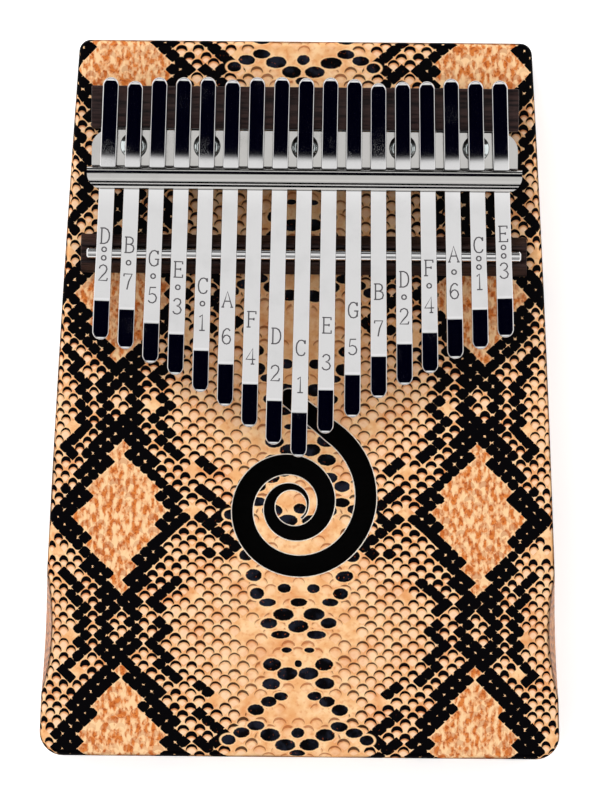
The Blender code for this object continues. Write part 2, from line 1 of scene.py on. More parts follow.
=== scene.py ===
"""A seventeen-tine thumb piano, finished around its fixed frame.

Metres, +Z up, in the frame's own axes: +Y runs to the head of the box, where the tines
are clamped, and +X to the player's right. Along a tine, s is the distance from the
saddle rod towards the free tip. The print on the lacquer is drawn in millimetres.
"""

import json
import math

import bmesh
import bpy
import numpy as np
from bpy.props import FloatProperty, FloatVectorProperty, IntProperty, PointerProperty
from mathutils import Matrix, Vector


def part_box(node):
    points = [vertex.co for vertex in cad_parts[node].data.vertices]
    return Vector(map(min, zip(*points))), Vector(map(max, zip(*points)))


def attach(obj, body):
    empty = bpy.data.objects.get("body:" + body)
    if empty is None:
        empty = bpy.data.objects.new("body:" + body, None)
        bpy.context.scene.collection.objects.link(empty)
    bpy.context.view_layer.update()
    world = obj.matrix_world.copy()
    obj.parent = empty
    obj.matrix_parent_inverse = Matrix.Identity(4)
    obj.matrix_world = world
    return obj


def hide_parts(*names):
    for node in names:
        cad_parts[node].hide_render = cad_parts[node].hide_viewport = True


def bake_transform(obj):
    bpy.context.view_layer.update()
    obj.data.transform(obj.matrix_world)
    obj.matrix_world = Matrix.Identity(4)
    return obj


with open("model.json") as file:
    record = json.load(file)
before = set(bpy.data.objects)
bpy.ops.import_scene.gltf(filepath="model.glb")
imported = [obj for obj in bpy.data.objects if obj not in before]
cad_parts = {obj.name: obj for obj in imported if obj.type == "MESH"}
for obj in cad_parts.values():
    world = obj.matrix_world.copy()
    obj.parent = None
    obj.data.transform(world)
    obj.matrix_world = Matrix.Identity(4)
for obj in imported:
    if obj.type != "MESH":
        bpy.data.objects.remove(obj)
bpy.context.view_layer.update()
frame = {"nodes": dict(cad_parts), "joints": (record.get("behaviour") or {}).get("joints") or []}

bl_info = {
    "name": "Thumb Piano",
    "version": (1, 0, 0),
    "blender": (4, 5, 0),
    "location": "View3D > Sidebar > Thumb Piano",
    "description": "Finished pieces of a seventeen-tine thumb piano around its frame",
    "category": "Object",
}

MM = 0.001

# ---- places read from the frame ----

BOARD_LOW, BOARD_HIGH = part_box("front_board")
TOP, UNDERSIDE = BOARD_HIGH.z, BOARD_LOW.z
HEAD_Y, TAIL_Y = BOARD_HIGH.y, BOARD_LOW.y
BACK_BOARD_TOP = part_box("back_board")[1].z
ROD_LOW, ROD_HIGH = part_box("saddle_rod")
ROD_RADIUS = (ROD_HIGH.z - ROD_LOW.z) / 2
SADDLE_Y = (ROD_HIGH.y + ROD_LOW.y) / 2
ROD_HEIGHT = (ROD_HIGH.z + ROD_LOW.z) / 2 - TOP
RIDGE_LOW, RIDGE_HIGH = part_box("back_ridge")
RIDGE_Y = (RIDGE_HIGH.y + RIDGE_LOW.y) / 2
BRIDGE_LOW, BRIDGE_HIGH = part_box("lower_bridge")
BRACKET_LOW, BRACKET_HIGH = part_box("tine_bracket")
NOTES = [j["child"].split("_")[0] for j in frame["joints"] if j["type"] == "hinge"]
HINGES = {j["child"].split("_")[0]: j for j in frame["joints"] if j["type"] == "hinge"}


def paint(red, green, blue):
    """A screen colour from 0 to 255 as the linear colour that shaders take."""
    values = [c / 255 for c in (red, green, blue)]
    return [v / 12.92 if v <= 0.04045 else ((v + 0.055) / 1.055) ** 2.4 for v in values]


def length(name, value, text, low=0.0):
    return FloatProperty(
        name=name, description=text, default=value, min=low, precision=5,
        subtype="DISTANCE", unit="LENGTH",
    )


def angle(name, degrees, text):
    return FloatProperty(
        name=name, description=text, default=math.radians(degrees),
        subtype="ANGLE", unit="ROTATION",
    )


def ratio(name, value, text):
    return FloatProperty(name=name, description=text, default=value)


def colour(name, value, text):
    return FloatVectorProperty(
        name=name, description=text, default=paint(*value), subtype="COLOR",
        size=3, min=0.0, max=1.0,
    )


class BoxSizes(bpy.types.PropertyGroup):
    head_width: length("Head width", 0.11658, "Width of the box where the tines are clamped")
    tail_width: length("Tail width", 0.13478, "Width of the box at the thumbs' end")
    side_bow: length("Side bow", 0.00075, "How far each long side bows out")
    head_corner: length("Head corner", 0.003, "Plan radius of the corners at the head")
    tail_corner: length("Tail corner", 0.006, "Plan radius of the corners at the tail")
    rounding: length("Edge rounding", 0.0015, "Radius of the rounded rim of each board")
    wall: length("Side wall", 0.008, "Thickness of the long walls")
    block: length("End block", 0.012, "Thickness of the head and tail blocks")
    rest_from_tail: length("Hand rest", 0.034, "Middle of each hand rest, from the tail")
    rest_depth_front: length("Rest depth, front", 0.002, "How deep a hand rest cuts the front face")
    rest_depth_back: length("Rest depth, back", -0.002, "The same at the back face", -0.1)
    rest_radius: length("Rest radius", 0.065, "Radius of a hand rest's hollow")
    vent_diameter: length("Vent diameter", 0.010, "Diameter of the two vents in the back board")
    vent_spacing: length("Vent spacing", 0.060, "Distance between the two vents")
    vent_from_tail: length("Vent from tail", 0.048, "Distance of the vents from the tail")


class SpiralSizes(bpy.types.PropertyGroup):
    from_saddle: length("From saddle", 0.0647, "Distance of the spiral's centre from the rod")
    offset: length("Offset", -0.0024, "The centre's x", -0.1)
    inner_radius: length("Inner radius", 0.0040, "Radius where the slot starts")
    growth: ratio("Growth", 0.1235, "Growth of the radius for each radian")
    tail: angle("Tail", 54, "Even part before the radius starts to grow")
    turn: angle("Turn", 782, "Turn of the growing part")
    full_width: length("Full width", 0.0054, "Width of the open slot")
    widening: angle("Widening", 600, "Turn over which the slot opens to its full width")
    point_width: length("Point width", 0.0004, "Width at the slot's inner point")
    run: length("Straight run", 0.0165, "Length of the straight outer end")
    run_width: length("Run width", 0.0046, "Width of the straight outer end")
    edge: length("Edge rounding", 0.0003, "Radius of the slot's rounded edge")


class BarSizes(bpy.types.PropertyGroup):
    crown_radius: length("Ridge crown", 0.014, "Radius of the back ridge's round top")
    bridge_edge: length("Bridge edge", 0.0015, "Height of the lower bridge's outer edges")
    bridge_land: length("Bridge land", 0.0008, "Flat on each side of the rod's groove")
    groove_gap: length("Groove gap", 0.0003, "Room between the rod and its groove")
    worn_edge: length("Worn edge", 0.00035, "Rounding of the bars' long edges")
    sheet: length("Sheet", 0.0012, "Thickness of the bracket's sheet")
    foot_margin: length("Foot margin", 0.0015, "How far the foot reaches past the row of tines")
    foot_corner: length("Foot corner", 0.0045, "Plan radius of the foot's corners")
    foot_bend: length("Foot bend", 0.0012, "Radius of the bend between foot and riser")
    hood_margin: length("Hood margin", 0.0025, "How far the hood reaches past the row of tines")
    hood_width: length("Hood width", 0.0059, "Width of the hood, front to rear")
    hood_rise: length("Hood rise", 0.0011, "How far the hood rises from its edges to its crown")
    hood_corner: length("Hood corner", 0.004, "Plan radius of the hood's front corners")
    sill: length("Window sill", 0.0030, "Height of the windows' lower edge above the board")
    sheet_edge: length("Sheet edge", 0.00014, "Rounding of the sheet's edges")
    head_diameter: length("Screw head", 0.007, "Diameter of a screw's head")
    head_height: length("Head height", 0.002, "Height of a screw's domed head")
    shank: length("Shank", 0.0032, "Diameter of a screw's shank")
    recess_span: length("Recess span", 0.0040, "Width of the cross recess")
    recess_arm: length("Recess arm", 0.0009, "Width of each arm of the recess")
    recess_depth: length("Recess depth", 0.0011, "Depth of the recess")
    recess_seed: IntProperty(
        name="Recess seed", description="Seed for how far each screw was driven", default=4
    )


class TineSizes(bpy.types.PropertyGroup):
    width: length("Width", 0.0041, "Width of a tine")
    tip_flare: length("Tip flare", 0.0002, "How much wider a tine is at its fold")
    thickness: length("Thickness", 0.00102, "Thickness of a tine")
    edge: length("Rolled edge", 0.00034, "Radius of a tine's rolled edges")
    pitch: length("Pitch", 0.00643, "Distance between two tines at the saddle")
    gap: length("Bearing gap", 0.0003, "Room between two pieces that bear on each other")
    travel: length("Tuning travel", 0.001, "How far a tine slides each way when it is tuned")
    droop: angle("Front slope", 4.8, "How steeply the free part rises from the rod")
    tip_fold: angle("Tip fold", 16.5, "How far the tip is bent down")
    tip_length: length("Tip length", 0.0095, "Shortest length of the bent tip")
    tip_share: ratio("Tip share", 0.045, "Share of the free length added to the tip")
    hinge_share: ratio("Hinge share", 0.15, "Where a plucked tine turns, along its free length")
    fold_softness: length("Fold softness", 0.0005, "Half the length over which the fold turns")
    mark_height: length("Mark height", 0.0040, "Height of the stamped letters and numbers")
    mark_stroke: length("Mark stroke", 0.00038, "Width of the stamped strokes")
    mark_stand: length("Mark stand", 0.000012, "How far the dark fill stands over the steel")
    number_from_fold: length("Number", 0.0067, "Middle of the number, from the fold")
    dot_from_fold: length("Dots", 0.0116, "Middle of the octave dots, from the fold")
    letter_from_fold: length("Letter", 0.0162, "Middle of the letter, from the fold")
    dot_spacing: length("Dot spacing", 0.0022, "Distance between two octave dots")
    dot_radius: length("Dot radius", 0.00058, "Radius of an octave dot's ring")


class Finishes(bpy.types.PropertyGroup):
    ground: colour("Ground", (243, 181, 123), "The print's tan ground")
    glow: colour("Light ground", (255, 211, 160), "The lighter patches of the ground")
    amber: colour("Amber", (221, 127, 60), "The orange patches of the ground")
    rust: colour("Rust", (176, 84, 38), "The faint marks inside the diamonds")
    blush: colour("Blush", (255, 215, 180), "The pale patch under each scale's arc")
    ink: colour("Ink", (4, 3, 5), "The black scales")
    slate: colour("Slate", (28, 31, 42), "The bluish middles of the large ovals")
    # painted shade: the inside of the box is near-black, the darkness that shows through the sound
    # hole, in place of its wood colour
    stain: colour("Stain", (9, 7, 7), "The dark inside of the box")
    pale_wood: colour("Pale wood", (190, 150, 104), "The unfinished brace")
    dark_wood: colour("Dark wood", (58, 40, 37), "The ridge and the lower bridge")
    dark_grain: colour("Dark grain", (22, 14, 15), "The grain of the dark wood")
    steel: colour("Steel", (212, 211, 211), "The polished tines and the rod")
    # painted highlight: a near-white colour on the rounded edges of the sound hole and the vents,
    # in place of the gloss that catches there
    bare_edge: colour("Bare edge", (248, 236, 220), "The clear lacquer on the sound hole's edge")
    sheet: colour("Sheet", (186, 184, 181), "The plated bracket")
    fastener: colour("Fastener", (205, 212, 212), "The plated screws")
    mark: colour("Mark", (66, 64, 66), "The dull bottom of the stamped marks")


SETTINGS = {
    "box": BoxSizes, "spiral": SpiralSizes, "bars": BarSizes, "tines": TineSizes,
    "finish": Finishes,
}


def settings(name):
    return getattr(bpy.context.scene, f"thumb_piano_{name}")


# ---- shader wiring ----


class Number:
    """A number on a socket, on which arithmetic adds Math nodes."""

    def __init__(self, wiring, socket):
        self.wiring, self.socket = wiring, socket

    def __add__(self, other):
        return self.wiring.math("ADD", self, other)

    def __sub__(self, other):
        return self.wiring.math("SUBTRACT", self, other)

    def __rsub__(self, other):
        return self.wiring.math("SUBTRACT", other, self)

    def __mul__(self, other):
        return self.wiring.math("MULTIPLY", self, other)

    def __truediv__(self, other):
        return self.wiring.math("DIVIDE", self, other)

    def __rtruediv__(self, other):
        return self.wiring.math("DIVIDE", other, self)

    def __abs__(self):
        return self.wiring.math("ABSOLUTE", self)


class Wiring:
    """Adds nodes to one node tree and joins them."""

    def __init__(self, tree):
        self.tree = tree

    def feed(self, socket, value):
        if isinstance(value, Number):
            value = value.socket
        if isinstance(value, bpy.types.NodeSocket):
            self.tree.links.new(value, socket)
        elif socket.type == "RGBA" and len(value) == 3:
            socket.default_value = (*value, 1.0)
        else:
            socket.default_value = value

    def feed_all(self, sockets, values):
        for key, value in values.items():
            self.feed(sockets[key], value)

    def node(self, kind, inputs=None, **choices):
        made = self.tree.nodes.new(kind)
        for choice, value in choices.items():
            setattr(made, choice, value)
        self.feed_all(made.inputs, inputs or {})
        return made

    def output(self, socket):
        return Number(self, socket) if socket.type == "VALUE" else socket

    def outputs(self, node):
        """A node's outputs by name."""
        return {socket.name: self.output(socket) for socket in node.outputs}

    def math(self, operation, *values, clamp=False):
        inputs = dict(enumerate(values))
        made = self.node("ShaderNodeMath", inputs, operation=operation, use_clamp=clamp)
        return self.output(made.outputs[0])

    def vector(self, operation, *values, scale=None):
        inputs = dict(enumerate(values))
        if scale is not None:
            inputs["Scale"] = scale
        made = self.node("ShaderNodeVectorMath", inputs, operation=operation)
        number = operation in ("DOT_PRODUCT", "LENGTH", "DISTANCE")
        return self.output(made.outputs["Value" if number else "Vector"])

    def largest(self, *values):
        found = values[0]
        for value in values[1:]:
            found = self.math("MAXIMUM", found, value)
        return found

    def fade(self, value, off, on):
        """0 where value is off, 1 where it is on, and smooth between them."""
        ends = {"Value": value, "From Min": off, "From Max": on}
        made = self.node("ShaderNodeMapRange", ends, interpolation_type="SMOOTHSTEP")
        return self.output(made.outputs[0])

    def mix(self, share, first, second):
        inputs = {0: share, 6: first, 7: second}
        return self.node("ShaderNodeMix", inputs, data_type="RGBA").outputs[2]

    def noise(self, place, scale, detail=2.0, output="Fac"):
        inputs = {"Vector": place, "Scale": scale, "Detail": detail}
        return self.output(self.node("ShaderNodeTexNoise", inputs).outputs[output])

    def split(self, vector):
        made = self.node("ShaderNodeSeparateXYZ", {"Vector": vector})
        return [self.output(socket) for socket in made.outputs]

    def join(self, x, y, z=0.0):
        return self.node("ShaderNodeCombineXYZ", {"X": x, "Y": y, "Z": z}).outputs[0]

    def group(self, tree, inputs):
        return self.outputs(self.node("ShaderNodeGroup", inputs, node_tree=tree))


def shader_group(name, inputs, outputs):
    """An empty shader group with named sockets: (wiring, its inputs, its output node)."""
    tree = bpy.data.node_groups.new(name, "ShaderNodeTree")
    for direction, sockets in (("INPUT", inputs), ("OUTPUT", outputs)):
        for key, kind in sockets.items():
            tree.interface.new_socket(name=key, in_out=direction, socket_type=f"NodeSocket{kind}")
    w = Wiring(tree)
    return w, w.outputs(w.node("NodeGroupInput")), w.node("NodeGroupOutput").inputs


def line_distance_group():
    """Distance from a point to a line between two points."""
    w, given, result = shader_group(
        "line_distance", dict.fromkeys(("Point", "Start", "End"), "Vector"), {"Distance": "Float"}
    )
    reach = w.vector("SUBTRACT", given["Point"], given["Start"])
    line = w.vector("SUBTRACT", given["End"], given["Start"])
    passed, whole = w.vector("DOT_PRODUCT", reach, line), w.vector("DOT_PRODUCT", line, line)
    share = w.math("DIVIDE", passed, whole, clamp=True)
    nearest = w.vector("SCALE", line, scale=share)
    w.feed(result["Distance"], w.vector("DISTANCE", reach, nearest))
    return w.tree


# The print, in millimetres. Its two halves mirror each other, and along the box it repeats.
PRINT_MIDDLE = 0.5
PRINT_EDGE = 74.0  # past every side, from the mirror line
PRINT_REPEAT = 57.9
DIAMOND_Y = -30.3
DIAMOND_A = 46.1
DIAMOND_HALF = (12.1, 18.9)
BAND = 0.48  # of a diamond's size, past its edge
LINK_MIDDLE, LINK_HALF, LINK_FROM = 3.7, 1.9, 22.0  # between two diamonds, on each side of them
GAP_HALF, GAP_FROM = 2.2, 25.3  # the clear scales where the bands cross
ROW = PRINT_REPEAT / 32  # between two staggered rows of scales
COLUMNS = 0.4  # half scales for each millimetre at the middle
COLUMNS_GAIN = 0.0012963  # how much narrower the scales get towards the sides
SPUR_REACH, CHAIN_REACH = 1.7, 1.65  # how near a black scale's middle is to its line
SPURS = (((14, 16), (9.5, 23)), ((9.5, 23), (10.7, 29)))
CHAINS = (
    ((33, 0), (22.3, -0.9)), ((27, 6.8), (24.3, 4.9)), ((22.3, -4.3), (16.4, -9.6)),
    ((24.8, -9.5), (24.6, -9.8)), ((26, 13.2), (23.6, 11.4)), ((21.8, 2.2), (19.4, 0.6)),
)
OVALS_WRAP = 24.9
# large ovals along the middle: place past the mirror line and the diamonds' middle, half sizes
OVALS = (
    (3.8, -18.5, 1.7, 1.2), (0.3, -22, 1.8, 1.1), (10.9, -19.8, 1.9, 1.5), (8.1, -22.1, 2.2, 1.0),
    (3.9, -25.2, 2.7, 1.65), (0, -28.4, 2.5, 1.7), (7.6, -27.6, 2.1, 1.4), (4.5, -30.6, 2.5, 1.1),
    (2.8, 23.3, 1.3, 0.7), (0, 19.8, 0.9, 0.9), (6.7, 19.6, 2.4, 1.6), (2.7, 17.3, 2.6, 1.6),
    (6.8, 14.7, 2.4, 1.5), (4.3, 11.5, 1.8, 1.1), (7.5, 10.1, 2.1, 1.35), (10.9, 7.9, 2.1, 1.5),
    (10.9, 3.7, 2.2, 1.2), (7.2, 1.5, 2.6, 1.55), (0, 2.2, 1.7, 1.3), (3.1, -0.9, 2.6, 1.5),
    (0, -3.2, 2, 1.1), (14.6, 2.1, 2.1, 1.25), (17.8, 0.3, 1.8, 1.3), (11.8, -15.2, 2.2, 1.5),
    (13.6, -10, 1.9, 1.5),
)
SCALE_WIDE, SCALE_TALL = 0.86, 1.53  # a black scale: share of its column, and half its height
ARC_WIDE, ARC_TALL, ARC_DOWN = 0.7, 1.5, 0.42  # the oval that a scale's arc is cut from
SIDE_SHADE = (0.52, 0.38, 0.3)
PRINT_COLOURS = ("Ground", "Glow", "Amber", "Rust", "Blush", "Ink", "Slate")


def reptile_print_group():
    """Staggered scales with dark arcs, black bands round diamonds and large black ovals, with
    painted shade on the rounded rim and the sides.
    """
    inputs = {"Place": "Vector", **dict.fromkeys(PRINT_COLOURS, "Color")}
    w, given, result = shader_group("reptile_print", inputs, {"Color": "Color", "Inked": "Float"})
    ground, glow, amber, rust, blush, ink, slate = (given[key] for key in PRINT_COLOURS)
    flat = w.vector("SCALE", given["Place"], scale=1 / MM)
    wobble = w.vector("SUBTRACT", w.noise(flat, 0.09, 1.0, "Color"), (0.5, 0.5, 0.5))
    x, y, below = w.split(w.vector("ADD", flat, w.vector("SCALE", wobble, scale=1.1)))
    a = w.math("PINGPONG", abs(x + PRINT_MIDDLE), PRINT_EDGE)

    # the staggered scales: the nearest scale's middle, and where this point is in it
    p, q = a * (a * COLUMNS_GAIN + COLUMNS), y / ROW
    m_mid, n_mid = w.math("ROUND", (p + q) * 0.5), w.math("ROUND", (p - q) * 0.5)
    p_mid, q_mid = m_mid + n_mid, m_mid - n_mid
    half = 1.0 / (a * (2 * COLUMNS_GAIN) + COLUMNS)
    root = w.math("SQRT", p_mid * (4 * COLUMNS_GAIN) + COLUMNS**2)
    a_mid = (root - COLUMNS) / (2 * COLUMNS_GAIN)
    v_mid = w.math("WRAP", q_mid * ROW - DIAMOND_Y, PRINT_REPEAT / 2, -PRINT_REPEAT / 2)
    u_far, v_far = abs(a_mid - DIAMOND_A), abs(v_mid)
    cell = w.join(m_mid, n_mid)
    chance = w.outputs(w.node("ShaderNodeTexWhiteNoise", {"Vector": cell}, noise_dimensions="3D"))
    first, second, third = w.split(chance["Color"])
    along = (p - p_mid) * half + (third - 0.5) * 0.35
    up = (q - q_mid) * ROW + (chance["Value"] - 0.5) * 0.3

    # which scales are black
    outside = u_far / DIAMOND_HALF[0] + v_far / DIAMOND_HALF[1] - 1.0
    jittered = outside + (first - 0.5) * 0.2
    band = w.math("COMPARE", jittered, BAND / 2, BAND / 2 + 0.02)
    link = w.math("COMPARE", u_far, LINK_MIDDLE, LINK_HALF)
    link *= w.math("GREATER_THAN", v_far, LINK_FROM)
    clear = w.math("LESS_THAN", u_far, GAP_HALF) * w.math("GREATER_THAN", v_far, GAP_FROM)
    dark = w.math("SUBTRACT", w.largest(band, link), clear, clamp=True)
    to_line = line_distance_group()
    spurs = (w.join(u_far, v_far), SPURS, SPUR_REACH)
    chains = (w.join(a_mid, v_mid), CHAINS, CHAIN_REACH)
    for point, lines, reach in (spurs, chains):
        for start, end in lines:
            line = {"Point": point, "Start": (*start, 0), "End": (*end, 0)}
            near = w.math("LESS_THAN", w.group(to_line, line)["Distance"], reach)
            dark = w.largest(dark, near)
    inside = w.math("LESS_THAN", jittered, -0.02)

    # the large ovals along the middle
    v = w.math("WRAP", y - DIAMOND_Y, OVALS_WRAP, OVALS_WRAP - PRINT_REPEAT)
    there = w.join(a, v)
    oval_edge = 100.0
    for a_oval, v_oval, wide, tall in OVALS:
        reach = w.vector("SUBTRACT", there, (a_oval, v_oval, 0))
        distance = w.vector("LENGTH", w.vector("MULTIPLY", reach, (1 / wide, 1 / tall, 0)))
        oval_edge = w.math("MINIMUM", oval_edge, distance)
    free = w.fade(oval_edge, 1.25, 1.45)

    # a black scale: a rough oval
    ragged = (w.noise(flat, 1.5) - 0.5) * 0.45
    oval = w.vector("LENGTH", w.join(along / (half * SCALE_WIDE), up / SCALE_TALL))
    blob_edge = oval + ragged - (second * 0.24 + 0.93)
    large_edge = oval_edge + ragged * 0.5 - 1.0
    large = w.fade(large_edge, 0.05, -0.05)
    blob = w.largest(dark * free * w.fade(blob_edge, 0.05, -0.05), large)
    halo = w.largest(dark * w.fade(blob_edge, 0.35, 0.05), w.fade(large_edge, 0.3, 0.05))

    # a scale's arc: one oval less the same oval moved down
    near_band = w.fade(outside, 2.6, 0.3)
    to_sides = w.fade(a_mid, 4.0, 20.0)
    drawn = w.math("GREATER_THAN", third, to_sides * -0.4 + 0.45) * free
    strength = to_sides * (near_band * 0.3 + 0.45) + 0.25
    drop = near_band * (second + 0.4) * 0.75 + (first * 0.3 + 0.4)
    side, arc_up = along / (half * ARC_WIDE), up + ARC_DOWN
    outer = w.vector("LENGTH", w.join(side, arc_up / ARC_TALL))
    inner = w.vector("LENGTH", w.join(side, (arc_up + drop) / ARC_TALL))
    rough = ragged * 0.35
    arc = w.fade(outer + rough, 1.04, 0.96) * w.fade(inner + rough, 0.97, 1.06) * drawn
    under_arc = w.fade(inner, 1.0, 0.45) * drawn

    # the ground between the diamonds
    mottle = w.noise(flat, 0.28, 3.0)
    net = w.mix(w.fade(mottle, 0.36, 0.66), ground, glow)
    net = w.mix(w.fade(w.noise(flat, 0.13), 0.5, 0.72) * 0.55, net, amber)
    net = w.mix(w.fade(w.noise(flat, 0.75, 3.0), 0.5, 0.7) * 0.45, net, amber)
    net = w.mix(under_arc * strength * 0.85, net, blush)
    soft = w.fade(outer, 1.02, 0.94) * w.fade(inner, 0.62, 0.98) * drawn
    net = w.mix(soft * strength * (second * 0.5 + 0.35), net, rust)
    arc_share = arc * w.math("MULTIPLY_ADD", strength, 0.6, 0.5, clamp=True)
    net = w.mix(arc_share, net, w.mix(w.fade(strength, 0.15, 0.6), rust, ink))

    # the orange inside of a diamond
    streaks = w.noise(w.vector("MULTIPLY", flat, (1.0, 0.42, 1.0)), 0.8, 3.0)
    patch = w.mix(w.fade(streaks, 0.4, 0.6), glow, amber)
    flecks = w.fade(w.noise(flat, 1.3, 3.0), 0.5, 0.62) * w.fade(streaks, 0.42, 0.58)
    patch = w.mix(flecks * 0.9, patch, rust)
    patch = w.mix(w.fade(oval, 0.75, 1.05) * 0.6, patch, glow)
    patch = w.mix(arc * second * 0.5, patch, rust)

    # the black over both, then painted shade: a dark line along the rounded rim and darker sides
    # below the face
    plain = w.mix(halo * 0.6, w.mix(inside, net, patch), glow)
    speckle = w.fade(w.noise(flat, 1.1, 4.0), 0.63, 0.74) * w.fade(a_mid, 30.0, 10.0)
    black = w.mix(large * w.fade(mottle, 0.42, 0.66), ink, slate)
    printed = w.mix(blob, plain, w.mix(speckle * 0.75, black, rust))
    # painted shade: a dark line where the rim rounds over, and the sides darkened by SIDE_SHADE
    rim = w.fade(below, 0.15, 0.9) * w.fade(below, 2.2, 1.2)
    rim_shaded = w.mix(rim * 0.7, printed, ink)
    shaded = w.vector("MULTIPLY", rim_shaded, SIDE_SHADE)
    w.feed(result["Color"], w.mix(w.fade(below, 0.3, 1.6), rim_shaded, shaded))
    w.feed(result["Inked"], w.largest(blob, arc_share * (1.0 - inside)))
    return w.tree


def wood_grain_group():
    """Long grain along X with pores, for a bar of wood."""
    inputs = {"Place": "Vector", "Wood": "Color", "Grain": "Color", "Grain Size": "Float"}
    w, given, result = shader_group("wood_grain", inputs, {"Color": "Color", "Height": "Float"})
    place = w.vector("MULTIPLY", given["Place"], (60.0, 900.0, 900.0))
    long = w.noise(place, given["Grain Size"], 4.0)
    fine = w.vector("MULTIPLY", given["Place"], (350.0, 4200.0, 4200.0))
    pores = w.noise(fine, given["Grain Size"])
    tone = w.mix(w.fade(long, 0.35, 0.68), given["Wood"], given["Grain"])
    w.feed(result["Color"], w.mix(w.fade(pores, 0.6, 0.75) * 0.7, tone, given["Grain"]))
    w.feed(result["Height"], long - w.fade(pores, 0.55, 0.72))
    return w.tree


def fine_scratches_group():
    """Faint lengthwise brushing, and a few stray scratches."""
    w, given, result = shader_group(
        "fine_scratches",
        {"Place": "Vector", "Smooth": "Float", "Rough": "Float"},
        {"Roughness": "Float", "Height": "Float", "Smudge": "Float"},
    )
    place = given["Place"]
    brushed = w.noise(w.vector("MULTIPLY", place, (9000.0, 260.0, 9000.0)), 1.0)
    waves = {"Vector": place, "Scale": 190.0, "Distortion": 40.0, "Detail": 2.0}
    stray = w.outputs(w.node("ShaderNodeTexWave", {**waves, "Detail Scale": 3.0}))["Fac"]
    smudge = w.noise(place, 130.0, 3.0)
    mark = w.fade(stray, 0.985, 1.0) * w.fade(smudge, 0.55, 0.65)
    worn = w.largest(brushed * 0.6, w.fade(smudge, 0.5, 0.75) * 0.7, mark)
    spread = given["Rough"] - given["Smooth"]
    w.feed(result["Roughness"], worn * spread + given["Smooth"])
    w.feed(result["Height"], brushed * 0.25 - mark)
    w.feed(result["Smudge"], smudge)
    return w.tree


def shared_group(make):
    name = make.__name__.removesuffix("_group")
    return bpy.data.node_groups.get(name) or make()


def new_material(name):
    made = bpy.data.materials.new(name)
    made.use_nodes = True
    return made, Wiring(made.node_tree), made.node_tree.nodes["Principled BSDF"].inputs


def bump(w, height, depth, strength):
    inputs = {"Height": height, "Distance": depth, "Strength": strength}
    return w.node("ShaderNodeBump", inputs).outputs[0]


def object_place(w):
    return w.node("ShaderNodeTexCoord").outputs["Object"]


def toned(tint, share):
    return [c * share for c in tint]


def lacquered_print():
    f = settings("finish")
    made, w, shader = new_material("lacquered_print")
    place = w.node("ShaderNodeAttribute", attribute_name=PRINT_PLACE).outputs["Vector"]
    colours = {key: list(getattr(f, key.lower())) for key in PRINT_COLOURS}
    printed = w.group(shared_group(reptile_print_group), {"Place": place, **colours})
    w.feed_all(shader, {
        "Base Color": printed["Color"],
        "Roughness": w.noise(place, 90.0, 3.0) * 0.16 + 0.2,
        "Specular IOR Level": 0.1,
        "IOR": 1.12,
        "Coat Weight": printed["Inked"] * 0.01 + 0.01,
        "Coat Roughness": 0.06,
        "Normal": bump(w, w.noise(place, 700.0), 0.00003, 0.5),
    })
    return made


def slot_edge():
    # Painted highlight on the rounded edges of the sound hole and the vents: a near-white colour.
    made, w, shader = new_material("slot_edge")
    place, tint = object_place(w), list(settings("finish").bare_edge)
    w.feed_all(shader, {
        "Base Color": w.mix(w.fade(w.noise(place, 900.0, 3.0), 0.35, 0.7), tint, toned(tint, 0.7)),
        "Roughness": w.noise(place, 500.0) * 0.2 + 0.2,
        "Coat Weight": 0.3,
    })
    return made


def box_stain():
    # Painted shade: the inside of the box near-black, with faint wood fibre.
    made, w, shader = new_material("box_stain")
    stain = list(settings("finish").stain)
    fibre = w.noise(w.vector("MULTIPLY", object_place(w), (120.0, 900.0, 900.0)), 1.0, 4.0)
    w.feed_all(shader, {
        "Base Color": w.mix(w.fade(fibre, 0.4, 0.75), stain, toned(stain, 2.2)),
        "Roughness": fibre * 0.2 + 0.6,
        "Specular IOR Level": 0.15,
        "Normal": bump(w, fibre, 0.00012, 0.6),
    })
    return made


def wood(name, body, grain, size, roughness, coat, depth):
    made, w, shader = new_material(name)
    inputs = {"Wood": list(body), "Grain": list(grain), "Grain Size": size}
    grained = w.group(shared_group(wood_grain_group), {"Place": object_place(w), **inputs})
    w.feed_all(shader, {
        "Base Color": grained["Color"],
        "Roughness": grained["Height"] * 0.12 + roughness,
        "Coat Weight": coat,
        "Coat Roughness": 0.2,
        "Specular IOR Level": 0.12,
        "Normal": bump(w, grained["Height"], depth, 0.8),
    })
    return made


def brace_wood():
    body = settings("finish").pale_wood
    return wood("brace_wood", body, toned(body, 0.55), 1.0, 0.62, 0.0, 0.00012)


def bar_wood():
    f = settings("finish")
    return wood("bar_wood", f.dark_wood, f.dark_grain, 1.3, 0.36, 0.05, 0.00005)


def metal(name, tint, smooth, rough, depth, patchy):
    made, w, shader = new_material(name)
    inputs = {"Place": object_place(w), "Smooth": smooth, "Rough": rough}
    worked = w.group(shared_group(fine_scratches_group), inputs)
    w.feed_all(shader, {
        "Base Color": w.mix(w.fade(worked["Smudge"], 0.45, 0.8), list(tint), toned(tint, patchy)),
        "Metallic": 1.0,
        "Roughness": worked["Roughness"],
        "Normal": bump(w, worked["Height"], depth, 0.4),
    })
    return made


def tine_steel():
    return metal("tine_steel", settings("finish").steel, 0.03, 0.1, 0.000003, 0.93)


def bracket_plate():
    return metal("bracket_plate", settings("finish").sheet, 0.07, 0.16, 0.000004, 0.93)


def screw_plate():
    return metal("screw_plate", settings("finish").fastener, 0.1, 0.2, 0.000005, 0.85)


def mark_fill():
    made, w, shader = new_material("mark_fill")
    place, tint = object_place(w), list(settings("finish").mark)
    w.feed_all(shader, {
        "Base Color": w.mix(w.noise(place, 2500.0), tint, toned(tint, 2.4)),
        "Roughness": w.noise(place, 1800.0) * 0.3 + 0.4,
        "Specular IOR Level": 0.2,
    })
    return made


